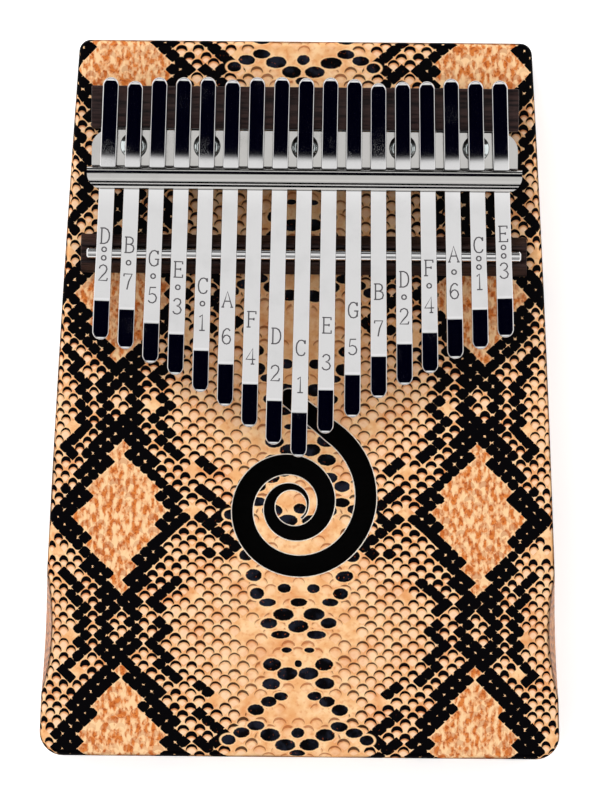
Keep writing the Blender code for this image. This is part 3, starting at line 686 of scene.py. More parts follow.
def finish(make):
    return bpy.data.materials.get(make.__name__) or make()


# ---- mesh work ----

PRINT_PLACE = "print_place"
SHARP = math.radians(32)


def add_object(name, bm, *makes):
    """Turns bm into a linked object whose finishes are made by makes."""
    bmesh.ops.recalc_face_normals(bm, faces=bm.faces)
    mesh = bpy.data.meshes.new(name)
    bm.to_mesh(mesh)
    bm.free()
    obj = bpy.data.objects.new(name, mesh)
    bpy.context.scene.collection.objects.link(obj)
    for make in makes:
        mesh.materials.append(finish(make))
    return obj


def flatten(obj):
    """Applies every modifier, so that the piece is a plain mesh."""
    graph = bpy.context.evaluated_depsgraph_get()
    graph.update()
    old = obj.data
    plain = bpy.data.meshes.new_from_object(
        obj.evaluated_get(graph), preserve_all_data_layers=True, depsgraph=graph
    )
    obj.modifiers.clear()
    obj.data = plain
    bpy.data.meshes.remove(old)
    obj.data.name = obj.name
    return obj


def boolean(obj, cutter, operation="DIFFERENCE"):
    cut = obj.modifiers.new(cutter.name, "BOOLEAN")
    cut.operation, cut.solver, cut.object = operation, "EXACT", cutter
    flatten(obj)
    bpy.data.objects.remove(cutter, do_unlink=True)


def smooth(obj):
    """Smooth shading whose large flat faces stay flat."""
    obj.data.shade_smooth()
    obj.data.set_sharp_from_angle(angle=SHARP)
    obj.modifiers.new("weighted", "WEIGHTED_NORMAL").keep_sharp = True
    return flatten(obj)


def soften(obj, width, segments, limit=math.radians(40)):
    """Rounds the edges that turn more than limit."""
    bevel = obj.modifiers.new("edges", "BEVEL")
    bevel.width, bevel.segments = width, segments
    bevel.limit_method, bevel.angle_limit = "ANGLE", limit
    return flatten(obj)


def place_piece(obj, replaced, body="box"):
    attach(obj, body)
    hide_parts(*replaced)


def arc(centre, radii, first, last, steps):
    """Points of an ellipse from the first angle to the last, in degrees."""
    points = []
    for k in range(steps + 1):
        a = math.radians(first + (last - first) * k / steps)
        x, y = centre[0] + radii[0] * math.cos(a), centre[1] + radii[1] * math.sin(a)
        points.append(Vector((x, y)))
    return points


def rounded(corners, segments=9):
    """An outline through (x, y, radius) corners, each turned by an arc."""
    points = []
    for i, (x, y, radius) in enumerate(corners):
        here = Vector((x, y))
        if not radius:
            points.append(here)
            continue
        before = (Vector(corners[i - 1][:2]) - here).normalized()
        after = (Vector(corners[(i + 1) % len(corners)][:2]) - here).normalized()
        half = before.angle(after) / 2
        centre = here + (before + after).normalized() * radius / math.sin(half)
        start = (here + before * radius / math.tan(half) - centre).normalized()
        end = (here + after * radius / math.tan(half) - centre).normalized()
        for k in range(segments + 1):
            points.append(centre + start.slerp(end, k / segments).normalized() * radius)
    return points


def outward(loop):
    """The outward direction at each point of a closed loop that runs anticlockwise."""
    found = []
    for i, point in enumerate(loop):
        along = loop[(i + 1) % len(loop)] - loop[i - 1]
        found.append(Vector((along.y, -along.x)).normalized())
    return found


def ribbon(path, half_widths):
    """The closed outline of a band of changing width along a path of 2D points."""
    left, right = [], []
    for i, (point, half) in enumerate(zip(path, half_widths)):
        along = (path[min(i + 1, len(path) - 1)] - path[max(i - 1, 0)]).normalized()
        across = Vector((-along.y, along.x)) * half
        left.append(point + across)
        right.append(point - across)
    return right + left[::-1]


def skin(bm, rings, finishes=None):
    """Faces between following rings of vertices. A ring may be one vertex repeated."""
    for i, (ring, following) in enumerate(zip(rings, rings[1:])):
        for k, corner in enumerate(ring):
            after = (k + 1) % len(ring)
            corners = dict.fromkeys((corner, ring[after], following[after], following[k]))
            bm.faces.new(tuple(corners)).material_index = finishes[i] if finishes else 0


def turned(profile, steps, place):
    """A solid from (radius, along) pairs turned about an axis that place puts in the frame."""
    bm = bmesh.new()
    rings = []
    for radius, along in profile:
        ring = []
        for k in range(steps if radius else 1):
            a = math.tau * k / steps
            ring.append(bm.verts.new(place(radius * math.cos(a), radius * math.sin(a), along)))
        rings.append(ring if radius else ring * steps)
    skin(bm, rings)
    for ring in (rings[0], rings[-1]):
        if ring[0] != ring[1]:
            bm.faces.new(ring)
    return bm


def stack(levels, paired=False, finishes=None):
    """A closed solid through (loop, z) levels. Paired caps join each point with its mirror."""
    bm = bmesh.new()
    rows = [[bm.verts.new((p.x, p.y, z)) for p in loop] for loop, z in levels]
    count = len(rows[0])
    skin(bm, rows, finishes)
    for row in (rows[0], rows[-1]):
        if paired:
            for k in range(count // 2 - 1):
                bm.faces.new((row[k], row[k + 1], row[count - 2 - k], row[count - 1 - k]))
        else:
            bm.faces.new(row)
    return bm


def prism(section, half_length, low_z=0.0):
    """A bar along X with a closed section of (y, z) points."""
    bm = bmesh.new()
    ends = []
    for x in (-half_length, half_length):
        ends.append([bm.verts.new((x, p.x, p.y + low_z)) for p in section])
        bm.faces.new(ends[-1])
    skin(bm, ends)
    return bm


# ---- the box ----

SIDE_POINTS = 92  # along each side, of which the first and last few give way to the corners
CORNER_POINTS = 4
RIM_STEPS = 5
WALL_STEPS = 12
SPIRAL_STEP = 6  # degrees
RUN_STEPS = 8
END_STEP = 12  # degrees, round the slot's outer end
CUTTER_PAST = 0.002  # how far a cutter reaches past what it cuts
ROOM_CORNER = 0.004  # plan radius of the corners inside the walls
VENT_EDGE = 0.0006
TINY = 0.00002


def rest_reach(y, z):
    """The box's half width at y and height z where a hand rest cuts it, or a large number."""
    b = settings("box")
    middle = TAIL_Y + b.rest_from_tail
    share = z / TOP
    depth = b.rest_depth_back + (b.rest_depth_front - b.rest_depth_back) * share
    if abs(y - middle) >= b.rest_radius:
        return 1.0
    axis = straight_half(middle) + bow(middle) + b.rest_radius - depth
    return axis - math.sqrt(b.rest_radius**2 - (y - middle) ** 2)


def straight_half(y):
    b = settings("box")
    return (b.head_width + (b.tail_width - b.head_width) * (HEAD_Y - y) / (HEAD_Y - TAIL_Y)) / 2


def bow(y):
    return settings("box").side_bow * (1 - (y / HEAD_Y) ** 2)


def box_outline(z):
    """The box's outline at height z, anticlockwise from the head's right corner."""
    b = settings("box")
    steps = range(CORNER_POINTS, SIDE_POINTS - CORNER_POINTS)
    between = [HEAD_Y - (HEAD_Y - TAIL_Y) * k / SIDE_POINTS for k in steps]
    head, tail = b.head_width / 2, b.tail_width / 2
    corners = [(head, HEAD_Y, b.head_corner), (-head, HEAD_Y, b.head_corner)]
    corners += [(-straight_half(y), y, 0) for y in between]
    corners += [(-tail, TAIL_Y, b.tail_corner), (tail, TAIL_Y, b.tail_corner)]
    corners += [(straight_half(y), y, 0) for y in reversed(between)]
    outline = []
    for point in rounded(corners):
        x = point.x * (1 + bow(point.y) / straight_half(point.y))
        x = math.copysign(min(abs(x), rest_reach(point.y, z)), x)
        outline.append(Vector((x, point.y)))
    return outline


def inset_outline(z, inset):
    outline = box_outline(z)
    return [p - n * inset for p, n in zip(outline, outward(outline))]


def board_levels(flat_z, rim_z):
    """Loops from the flat joint at flat_z to the rounded rim's face at rim_z."""
    r = settings("box").rounding
    sign = 1 if rim_z > flat_z else -1
    levels = [(inset_outline(flat_z, 0), flat_z)]
    for k in range(RIM_STEPS + 1):
        a = math.radians(90) * k / RIM_STEPS
        z = rim_z - sign * r * (1 - math.sin(a))
        levels.append((inset_outline(z, r * (1 - math.cos(a))), z))
    return levels


def unfold_print(obj, face_z, reach=0.0025):
    """Stores where each point falls on the print, which runs over the face and down the sides."""
    outline = box_outline(face_z)
    normals = np.array([n[:] for n in outward(outline)])
    rim = np.array([p[:] for p in outline])
    count = len(obj.data.vertices)
    co = np.zeros(count * 3)
    obj.data.vertices.foreach_get("co", co)
    co = co.reshape(-1, 3)
    nearest = np.array([np.argmin(((rim - p) ** 2).sum(1)) for p in co[:, :2]])
    inward = ((rim[nearest] - co[:, :2]) * normals[nearest]).sum(1)
    fallen = np.where(inward < reach, np.abs(face_z - co[:, 2]), 0.0)
    place = np.zeros((count, 3))
    place[:, :2] = co[:, :2] + normals[nearest] * fallen[:, None]
    # the depth below the face, which also sets the print's painted shade on the rim and sides
    place[:, 2] = fallen
    layer = obj.data.attributes.new(PRINT_PLACE, "FLOAT_VECTOR", "POINT")
    layer.data.foreach_set("vector", place.ravel().astype(np.float32))


def spiral_slot():
    """The sound hole's outline as a centreline and half widths."""
    s = settings("spiral")
    centre = Vector((s.offset, SADDLE_Y - s.from_saddle))
    path, halves = [], []
    steps = round(math.degrees(s.turn + s.tail) / SPIRAL_STEP)
    for k in range(steps + 1):
        turn = -s.tail + (s.turn + s.tail) * k / steps
        grown = max(turn, 0)
        spoke = Vector((math.cos(turn), math.sin(turn)))
        path.append(centre + s.inner_radius * math.exp(s.growth * grown) * spoke)
        opened = math.sin(math.pi / 2 * min(grown / s.widening, 1))
        halves.append((s.point_width + (s.full_width - s.point_width) * opened) / 2)
    along = (path[-1] - path[-2]).normalized()
    start, half = path[-1], s.run_width / 2
    for k in range(1, RUN_STEPS + 1):
        path.append(start + along * (s.run - half) * k / RUN_STEPS)
        halves.append(half + (halves[steps] - half) * (1 - k / RUN_STEPS) ** 2)
    for a in range(END_STEP, 90, END_STEP):
        path.append(start + along * (s.run - half + half * math.sin(math.radians(a))))
        halves.append(half * math.cos(math.radians(a)))
    return path, halves


def flared_cutter(name, loop, low, high, radius, upwards, paired):
    """A cutter on a loop that flares where it meets the face at high, to leave a rounded edge."""
    normals, steps, past = outward(loop), 5, 0.0003
    turn = math.radians(90) / steps
    widths = [0.0, 0.0]
    heights = [low, high - upwards * radius]
    for k in range(1, steps):
        widths.append(radius * (1 - math.cos(turn * k)))
        heights.append(high - upwards * radius * (1 - math.sin(turn * k)))
    widths.append(widths[-1] + (abs(high - heights[-1]) + past) / math.tan(turn))
    heights.append(high + upwards * past)
    levels = []
    for width, z in zip(widths, heights):
        levels.append(([p + n * width for p, n in zip(loop, normals)], z))
    # finish 1 on the hole's walls is the inside's near-black painted shade, finish 2 on its rounded
    # edge the painted highlight
    bm = stack(levels, paired, [1] + [2] * (len(levels) - 2))
    return add_object(name, bm, lacquered_print, box_stain, slot_edge)


def stain_inside(obj, low, high):
    """Gives the faces of a board that look into the box the inside's near-black painted shade."""
    for face in obj.data.polygons:
        z = [obj.data.vertices[v].co.z for v in face.vertices]
        if low <= min(z) and max(z) <= high and abs(face.normal.z) > 0.9:
            face.material_index = 1


def add_board(name, flat_z, rim_z):
    solid = stack(board_levels(flat_z, rim_z))
    return add_object(name, solid, lacquered_print, box_stain, slot_edge)


class MakeFrontBoard(bpy.types.Operator):
    """Front board with a rounded rim and the spiral sound hole"""

    bl_idname = "thumb_piano.front_board"
    bl_label = "Front Board"

    def execute(self, context):
        board = add_board("front_board_piece", UNDERSIDE, TOP)
        slot, edge = ribbon(*spiral_slot()), settings("spiral").edge
        low = UNDERSIDE - CUTTER_PAST
        boolean(board, flared_cutter("slot_cutter", slot, low, TOP, edge, 1, True))
        stain_inside(board, UNDERSIDE - TINY, UNDERSIDE + TINY)
        unfold_print(board, TOP)
        smooth(board)
        place_piece(board, ["front_board"])
        return {"FINISHED"}


class MakeBackBoard(bpy.types.Operator):
    """Back board with a rounded rim and two vents"""

    bl_idname = "thumb_piano.back_board"
    bl_label = "Back Board"

    def execute(self, context):
        b = settings("box")
        board = add_board("back_board_piece", BACK_BOARD_TOP, 0.0)
        low = BACK_BOARD_TOP + CUTTER_PAST
        for side in (-1, 1):
            centre = (side * b.vent_spacing / 2, TAIL_Y + b.vent_from_tail)
            loop = arc(centre, (b.vent_diameter / 2,) * 2, 0, 357.5, 143)
            boolean(board, flared_cutter("vent_cutter", loop, low, 0.0, VENT_EDGE, -1, False))
        stain_inside(board, BACK_BOARD_TOP - TINY, BACK_BOARD_TOP + TINY)
        unfold_print(board, 0.0)
        smooth(board)
        place_piece(board, ["back_board"])
        return {"FINISHED"}


class MakeSideWalls(bpy.types.Operator):
    """The long walls and the end blocks, lacquered outside and near-black painted shade inside"""

    bl_idname = "thumb_piano.side_walls"
    bl_label = "Side Walls"

    def execute(self, context):
        b = settings("box")
        rise = (UNDERSIDE - BACK_BOARD_TOP) / WALL_STEPS
        heights = [BACK_BOARD_TOP + rise * k for k in range(WALL_STEPS + 1)]
        walls = add_object(
            "side_walls", stack([(box_outline(z), z) for z in heights]), lacquered_print, box_stain
        )
        corners = []
        for y, side in ((HEAD_Y - b.block, 1), (TAIL_Y + b.block, -1)):
            half = straight_half(y) - b.wall
            corners += [(side * half, y, ROOM_CORNER), (-side * half, y, ROOM_CORNER)]
        room = rounded(corners)
        levels = [(room, BACK_BOARD_TOP - CUTTER_PAST), (room, UNDERSIDE + CUTTER_PAST)]
        cutter = add_object("room_cutter", stack(levels, finishes=[1]), lacquered_print, box_stain)
        boolean(walls, cutter)
        unfold_print(walls, TOP)
        smooth(walls)
        place_piece(walls, ["left_rail", "right_rail", "head_block", "tail_block"])
        return {"FINISHED"}


class FinishBrace(bpy.types.Operator):
    """Bare wood on the brace that the screws bite into"""

    bl_idname = "thumb_piano.brace"
    bl_label = "Screw Brace"

    def execute(self, context):
        brace = frame["nodes"]["screw_brace"]
        brace.data.materials.clear()
        brace.data.materials.append(finish(brace_wood))
        return {"FINISHED"}


# ---- the bars ----

ROD_EDGE = 0.0006


class MakeBackRidge(bpy.types.Operator):
    """Crowned bar of dark wood under the tines' rear ends"""

    bl_idname = "thumb_piano.back_ridge"
    bl_label = "Back Ridge"

    def execute(self, context):
        bars = settings("bars")
        half = (RIDGE_HIGH.y - RIDGE_LOW.y) / 2
        spread = math.degrees(math.asin(half / bars.crown_radius))
        centre = (RIDGE_Y, RIDGE_HIGH.z - bars.crown_radius)
        section = [Vector((RIDGE_Y - half, TOP)), Vector((RIDGE_Y + half, TOP))]
        section += arc(centre, (bars.crown_radius,) * 2, 90 - spread, 90 + spread, 16)
        ridge = add_object("back_ridge_piece", prism(section, RIDGE_HIGH.x), bar_wood)
        smooth(soften(ridge, bars.worn_edge, 3))
        place_piece(ridge, ["back_ridge"])
        return {"FINISHED"}


class MakeLowerBridge(bpy.types.Operator):
    """Sloped bar of dark wood with a groove for the rod"""

    bl_idname = "thumb_piano.lower_bridge"
    bl_label = "Lower Bridge"

    def execute(self, context):
        bars = settings("bars")
        half = (BRIDGE_HIGH.y - BRIDGE_LOW.y) / 2
        groove = ROD_RADIUS + bars.groove_gap
        land = groove + bars.bridge_land
        edge_z, top_z = TOP + bars.bridge_edge, TOP + ROD_HEIGHT
        outside = ((-half, TOP), (half, TOP), (half, edge_z), (land, top_z))
        section = [Vector((SADDLE_Y + y, z)) for y, z in outside]
        section += arc((SADDLE_Y, top_z), (groove, groove), 0, -180, 24)
        section += [Vector((SADDLE_Y - land, top_z)), Vector((SADDLE_Y - half, edge_z))]
        bridge = add_object("lower_bridge_piece", prism(section, BRIDGE_HIGH.x), bar_wood)
        smooth(soften(bridge, bars.worn_edge * 0.8, 2, math.radians(25)))
        place_piece(bridge, ["lower_bridge"])
        return {"FINISHED"}


class MakeSaddleRod(bpy.types.Operator):
    """Polished rod in the lower bridge"""

    bl_idname = "thumb_piano.saddle_rod"
    bl_label = "Saddle Rod"

    def execute(self, context):
        core, edge = (ROD_RADIUS - ROD_EDGE, ROD_HIGH.x - ROD_EDGE), (ROD_EDGE, ROD_EDGE)
        end = [(p.x, p.y) for p in arc(core, edge, 0, 90, 4)]
        profile = [(radius, -x) for radius, x in reversed(end)] + end
        axis_z = TOP + ROD_HEIGHT
        bm = turned(profile, 64, lambda across, up, x: (x, SADDLE_Y + across, axis_z + up))
        rod = add_object("saddle_rod_piece", bm, tine_steel)
        smooth(rod)
        place_piece(rod, ["saddle_rod"])
        return {"FINISHED"}


# ---- the curve of a tine ----

BLEND_SHARE, BLEND_REACH = 0.45, 0.0022  # how far the span about the hinge reaches each way
STATION_GAP = 0.0016
BEND_ROUNDS = 12


def hood_middle():
    return BRACKET_LOW.y + settings("bars").hood_width / 2


def height_on_rod():
    """The height above the board of the middle of the strip where it crosses the rod."""
    t = settings("tines")
    return ROD_HEIGHT + (ROD_RADIUS + t.gap + t.thickness / 2) / math.cos(t.droop)


def held_bend():
    """How far behind the hood the strip meets the ridge, and its curvature under the hood."""
    t, crown = settings("tines"), settings("bars").crown_radius
    droop, front = math.tan(t.droop), hood_middle() - SADDLE_Y
    clear = crown + t.gap + t.thickness / 2
    lean = 0.0
    for _ in range(BEND_ROUNDS):
        rear = RIDGE_Y - clear * math.sin(lean) - hood_middle()
        lift = RIDGE_HIGH.z - TOP - crown + clear * math.cos(lean) - height_on_rod()
        bend = (lift + droop * (front + rear)) / (front**2 / 6 + front * rear / 2 + rear**2 / 3)
        lean = math.atan(bend * (front + rear) / 2 - droop)
    return rear, bend


def strip(s, held):
    """The height above the board of the middle of a tine and its slope, short of its tip."""
    t = settings("tines")
    droop, front = math.tan(t.droop), hood_middle() - SADDLE_Y
    if s >= 0:
        return height_on_rod() + s * droop, t.droop
    rear, bend = held
    u = min(-s, front)
    height = height_on_rod() - droop * u + bend * u**3 / (6 * front)
    rise = bend * u**2 / (2 * front) - droop
    if -s > front:
        v = min(-s - front, rear)
        height += rise * v + bend * (v**2 / 2 - v**3 / (6 * rear))
        rise += bend * (v - v**2 / (2 * rear))
        height += rise * (-s - front - v)
    return height, -math.atan(rise)


class Tine:
    """One tine's line in the frame, and the map from the flat strip to its bent place."""

    def __init__(self, note):
        t = settings("tines")
        hinge = HINGES[note]
        self.note = note
        self.held = held_bend()
        self.pivot_place = Vector(hinge["pos_m"])
        self.across = Vector(hinge["axis"]).normalized()
        self.ahead = Vector((self.across.y, -self.across.x, 0))
        self.pivot = (SADDLE_Y - self.pivot_place.y) / -self.ahead.y
        self.free = self.pivot / t.hinge_share
        self.fold = self.free * (1 - t.tip_share) - t.tip_length
        self.rear = (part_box(f"tine_{note}_root")[1].y - SADDLE_Y) / self.ahead.y

    def line(self, s):
        """Height and slope of the strip's middle at s, with its fold."""
        t = settings("tines")
        soft = t.fold_softness
        past = s - self.fold
        if past <= -soft:
            return strip(s, self.held)
        height, slope = strip(self.fold, self.held)
        before, after = math.tan(slope), math.tan(slope - t.tip_fold)
        if past >= soft:
            return height + past * after, math.atan(after)
        share = (past + soft) / (2 * soft)
        bent = before + (after - before) * share
        return height + before * past + (after - before) * share**2 * soft, math.atan(bent)

    def at(self, x, s, v):
        """The place of a point x across, s along and v above the middle of the strip."""
        height, slope = self.line(s)
        s -= v * math.sin(slope)
        place = self.pivot_place + self.across * x + self.ahead * (s - self.pivot)
        place.z = TOP + height + v * math.cos(slope)
        return place

    def blend(self, obj):
        """Works out the span about the hinge where the tongue turns on its root, and bakes the
        piece's transform into its mesh; the piece does not bend.
        """
        reach = min(BLEND_SHARE * self.pivot, BLEND_REACH)
        ends = [self.pivot_place + self.ahead * d for d in (-reach, reach)]
        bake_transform(obj)


def tine_stations(tine):
    """Places along the straight sides of a tine, close together where it bends."""
    t = settings("tines")
    first, last = tine.rear + t.width / 2, tine.free - (t.width + t.tip_flare) / 2
    count = round((last - first) / STATION_GAP)
    places = {round(first + (last - first) * k / count, 6) for k in range(count + 1)}
    places |= {round(tine.fold + t.fold_softness * k / 2, 6) for k in range(-3, 4)}
    return sorted(places)


def tine_mesh(tine):
    t = settings("tines")
    stations = tine_stations(tine)
    first, last = stations[0], stations[-1]
    half, tip_half = t.width / 2, (t.width + t.tip_flare) / 2

    def plan(inset):
        """The strip's outline, drawn in by inset, from the middle of its rear end and round."""
        rear, tip = half - inset, tip_half - inset
        right = [(p.x, p.y) for p in arc((0, first), (rear, rear), -90, -9, 9)]
        for s in stations:
            share = min(max(s, 0) / tine.fold, 1)
            right.append((rear + (tip_half - half) * share, s))
        right += [(p.x, p.y) for p in arc((0, last), (tip, tip), 9, 90, 9)]
        right[0] = (0.0, right[0][1])
        right[-1] = (0.0, right[-1][1])
        return right + [(-x, s) for x, s in reversed(right[1:-1])]

    r, edge = t.edge, t.thickness / 2 - t.edge
    turns = [math.radians(a) for a in (0, 30, 60, 90)]
    levels = [(r * (1 - math.sin(a)), -edge - r * math.cos(a)) for a in turns]
    levels += [(inset, -v) for inset, v in reversed(levels)]
    bm = bmesh.new()
    rows = [[bm.verts.new(tine.at(x, s, v)) for x, s in plan(inset)] for inset, v in levels]
    skin(bm, rows)
    middle = len(rows[0]) // 2
    for row in (rows[0], rows[-1]):
        bm.faces.new((row[0], row[1], row[-1]))
        for k in range(1, middle - 1):
            bm.faces.new((row[k], row[k + 1], row[-k - 1], row[-k]))
        bm.faces.new(row[middle - 1 : middle + 2])
    return bm


class MakeTines(bpy.types.Operator):
    """Seventeen steel tines, each one bent strip"""

    bl_idname = "thumb_piano.tines"
    bl_label = "Tines"

    def execute(self, context):
        for note in NOTES:
            tine = Tine(note)
            obj = add_object(f"tine_{note}", tine_mesh(tine), tine_steel)
            smooth(obj)
            tine.blend(obj)
            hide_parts(f"tine_{note}_root", f"tine_{note}_tongue")
        return {"FINISHED"}


# ---- the stamped marks ----

# Strokes in a box one unit high, with its middle at the origin
C_BOW = [
    (0.27, 0.28), (0.2, 0.44), (0.05, 0.5), (-0.12, 0.46), (-0.25, 0.28), (-0.29, 0),
    (-0.25, -0.28), (-0.12, -0.46), (0.05, -0.5), (0.2, -0.44), (0.28, -0.28),
]
C_BARB = [(0.27, 0.5), (0.27, 0.26)]
STEM = [(-0.2, -0.5), (-0.2, 0.5)]
E_ARMS = [
    STEM, [(-0.3, 0.5), (0.26, 0.5), (0.26, 0.34)], [(-0.2, 0.02), (0.14, 0.02)],
    [(0.14, 0.1), (0.14, -0.06)],
]
GLYPHS = {
    "A": [
        [(-0.3, -0.5), (0, 0.5), (0.3, -0.5)], [(-0.19, -0.12), (0.19, -0.12)],
        [(-0.38, -0.5), (-0.2, -0.5)], [(0.2, -0.5), (0.38, -0.5)],
    ],
    "B": [
        STEM,
        [(-0.3, 0.5), (0.05, 0.5), (0.2, 0.42), (0.24, 0.27), (0.2, 0.12), (0.05, 0.04),
         (-0.2, 0.04)],
        [(0.05, 0.04), (0.24, -0.04), (0.3, -0.22), (0.24, -0.42), (0.05, -0.5), (-0.3, -0.5)],
    ],
    "C": [C_BOW, C_BARB],
    "D": [
        STEM,
        [(-0.3, 0.5), (0, 0.5), (0.18, 0.4), (0.28, 0.2), (0.3, 0), (0.28, -0.2), (0.18, -0.4),
         (0, -0.5), (-0.3, -0.5)],
    ],
    "E": E_ARMS + [[(-0.3, -0.5), (0.28, -0.5), (0.28, -0.32)]],
    "F": E_ARMS + [[(-0.32, -0.5), (-0.06, -0.5)]],
    "G": [C_BOW, C_BARB, [(0.08, -0.06), (0.36, -0.06)], [(0.28, -0.06), (0.28, -0.42)]],
    "1": [[(-0.16, 0.36), (0.02, 0.5), (0.02, -0.5)], [(-0.16, -0.5), (0.2, -0.5)]],
    "2": [
        [(-0.25, 0.26), (-0.2, 0.42), (0, 0.5), (0.18, 0.42), (0.24, 0.24), (0.16, 0.02),
         (-0.06, -0.22), (-0.27, -0.5), (0.25, -0.5), (0.29, -0.34)],
    ],
    "3": [
        [(-0.24, 0.32), (-0.14, 0.46), (0.02, 0.5), (0.18, 0.42), (0.22, 0.26), (0.14, 0.1),
         (-0.04, 0.03), (0.16, -0.04), (0.26, -0.22), (0.2, -0.4), (0.02, -0.5), (-0.16, -0.46),
         (-0.27, -0.32)],
    ],
    "4": [[(0.12, -0.5), (0.12, 0.5), (-0.3, -0.2), (0.3, -0.2)], [(0, -0.5), (0.24, -0.5)]],
    "5": [
        [(0.22, 0.5), (-0.16, 0.5), (-0.21, 0.04), (-0.02, 0.1), (0.16, 0.04), (0.26, -0.14),
         (0.22, -0.36), (0.04, -0.5), (-0.14, -0.47), (-0.26, -0.34)],
    ],
    "6": [
        [(0.22, 0.36), (0.1, 0.48), (-0.04, 0.48), (-0.2, 0.32), (-0.27, 0), (-0.24, -0.3),
         (-0.12, -0.46), (0.02, -0.5), (0.18, -0.42), (0.26, -0.22), (0.2, -0.02), (0.04, 0.08),
         (-0.12, 0.04), (-0.25, -0.14)],
    ],
    "7": [[(-0.26, 0.34), (-0.26, 0.5), (0.26, 0.5), (0.06, 0.02), (-0.04, -0.5)]],
}
LETTERS = "CDEFGAB"
LOWEST_OCTAVE = 4
MARK_DEPTH = 0.00012


def new_modifier_tree(name, inputs):
    """An empty Geometry Nodes tree with a Geometry input, named inputs and an output."""
    tree = bpy.data.node_groups.new(name, "GeometryNodeTree")
    tree.interface.new_socket(name="Geometry", in_out="INPUT", socket_type="NodeSocketGeometry")
    for key, kind in inputs.items():
        tree.interface.new_socket(name=key, in_out="INPUT", socket_type=f"NodeSocket{kind}")
    tree.interface.new_socket(name="Geometry", in_out="OUTPUT", socket_type="NodeSocketGeometry")
    w = Wiring(tree)
    return w, w.node("NodeGroupInput").outputs, w.node("NodeGroupOutput").inputs


def finish_tree(w, given, result, made):
    """Ends a tree with real geometry in its finish."""
    real = w.node("GeometryNodeRealizeInstances", {"Geometry": made}).outputs[0]
    coated = {"Geometry": real, "Material": given["Finish"]}
    w.feed(result["Geometry"], w.node("GeometryNodeSetMaterial", coated).outputs[0])
    return w.tree


def run_tree(obj, tree, values):
    """Runs a Geometry Nodes tree on obj and keeps the result as a plain mesh."""
    modifier = obj.modifiers.new(tree.name, "NODES")
    modifier.node_group = tree
    sockets = [item for item in tree.interface.items_tree if item.in_out == "INPUT"]
    ids = {socket.name: socket.identifier for socket in sockets}
    for key, value in values.items():
        modifier[ids[key]] = value
    return flatten(obj)


def stamped_strokes_tree():
    """Every edge becomes a flat stroke that lies level across the tine."""
    found = bpy.data.node_groups.get("stamped_strokes")
    if found:
        return found
    inputs = {"Stroke": "Float", "Depth": "Float", "Finish": "Material"}
    w, given, result = new_modifier_tree("stamped_strokes", inputs)
    curve = w.node("GeometryNodeMeshToCurve", {"Mesh": given["Geometry"]}).outputs[0]
    level = w.node("GeometryNodeSetCurveNormal", {"Curve": curve}, mode="Z_UP").outputs[0]
    section = {"Width": given["Stroke"], "Height": given["Depth"]}
    profile = w.node("GeometryNodeCurvePrimitiveQuadrilateral", section).outputs[0]
    swept = {"Curve": level, "Profile Curve": profile, "Fill Caps": True}
    solid = w.node("GeometryNodeCurveToMesh", swept).outputs[0]
    return finish_tree(w, given, result, solid)


def mark_strokes(note):
    """The strokes of one tine's marks as (x, distance from the fold) polylines."""
    t = settings("tines")
    letter, dots = note[0].upper(), int(note[1]) - LOWEST_OCTAVE
    number = str(LETTERS.index(letter) + 1)
    strokes = []
    for sign, middle in ((number, t.number_from_fold), (letter, t.letter_from_fold)):
        for stroke in GLYPHS[sign]:
            strokes.append([(x * t.mark_height, middle + y * t.mark_height) for x, y in stroke])
    for k in range(dots):
        middle = t.dot_from_fold + (k - (dots - 1) / 2) * t.dot_spacing
        ring = arc((0, middle), (t.dot_radius,) * 2, 0, 360, 14)
        strokes.append([p[:] for p in ring])
    return strokes


class MakeMarks(bpy.types.Operator):
    """Stamped note letters, numbers and octave dots on the tines"""

    bl_idname = "thumb_piano.marks"
    bl_label = "Stamped Marks"

    def execute(self, context):
        t = settings("tines")
        for note in NOTES:
            tine = Tine(note)
            bm = bmesh.new()
            lift = t.thickness / 2 + t.mark_stand - MARK_DEPTH / 2
            for stroke in mark_strokes(note):
                chain = [bm.verts.new(tine.at(x, tine.fold - d, lift)) for x, d in stroke]
                for pair in zip(chain, chain[1:]):
                    bm.edges.new(pair)
            obj = add_object(f"marks_{note}", bm)
            values = {"Stroke": t.mark_stroke, "Depth": MARK_DEPTH, "Finish": finish(mark_fill)}
            run_tree(obj, stamped_strokes_tree(), values)
            tine.blend(obj)
        return {"FINISHED"}


# ---- the bracket and its screws ----

SQUARE = ((-1, -1), (1, -1), (1, 1), (-1, 1))
SCREW_POINT = 0.0025  # length of a screw's pointed end
HEAD_RIM = 0.0003  # height of a screw head's straight rim


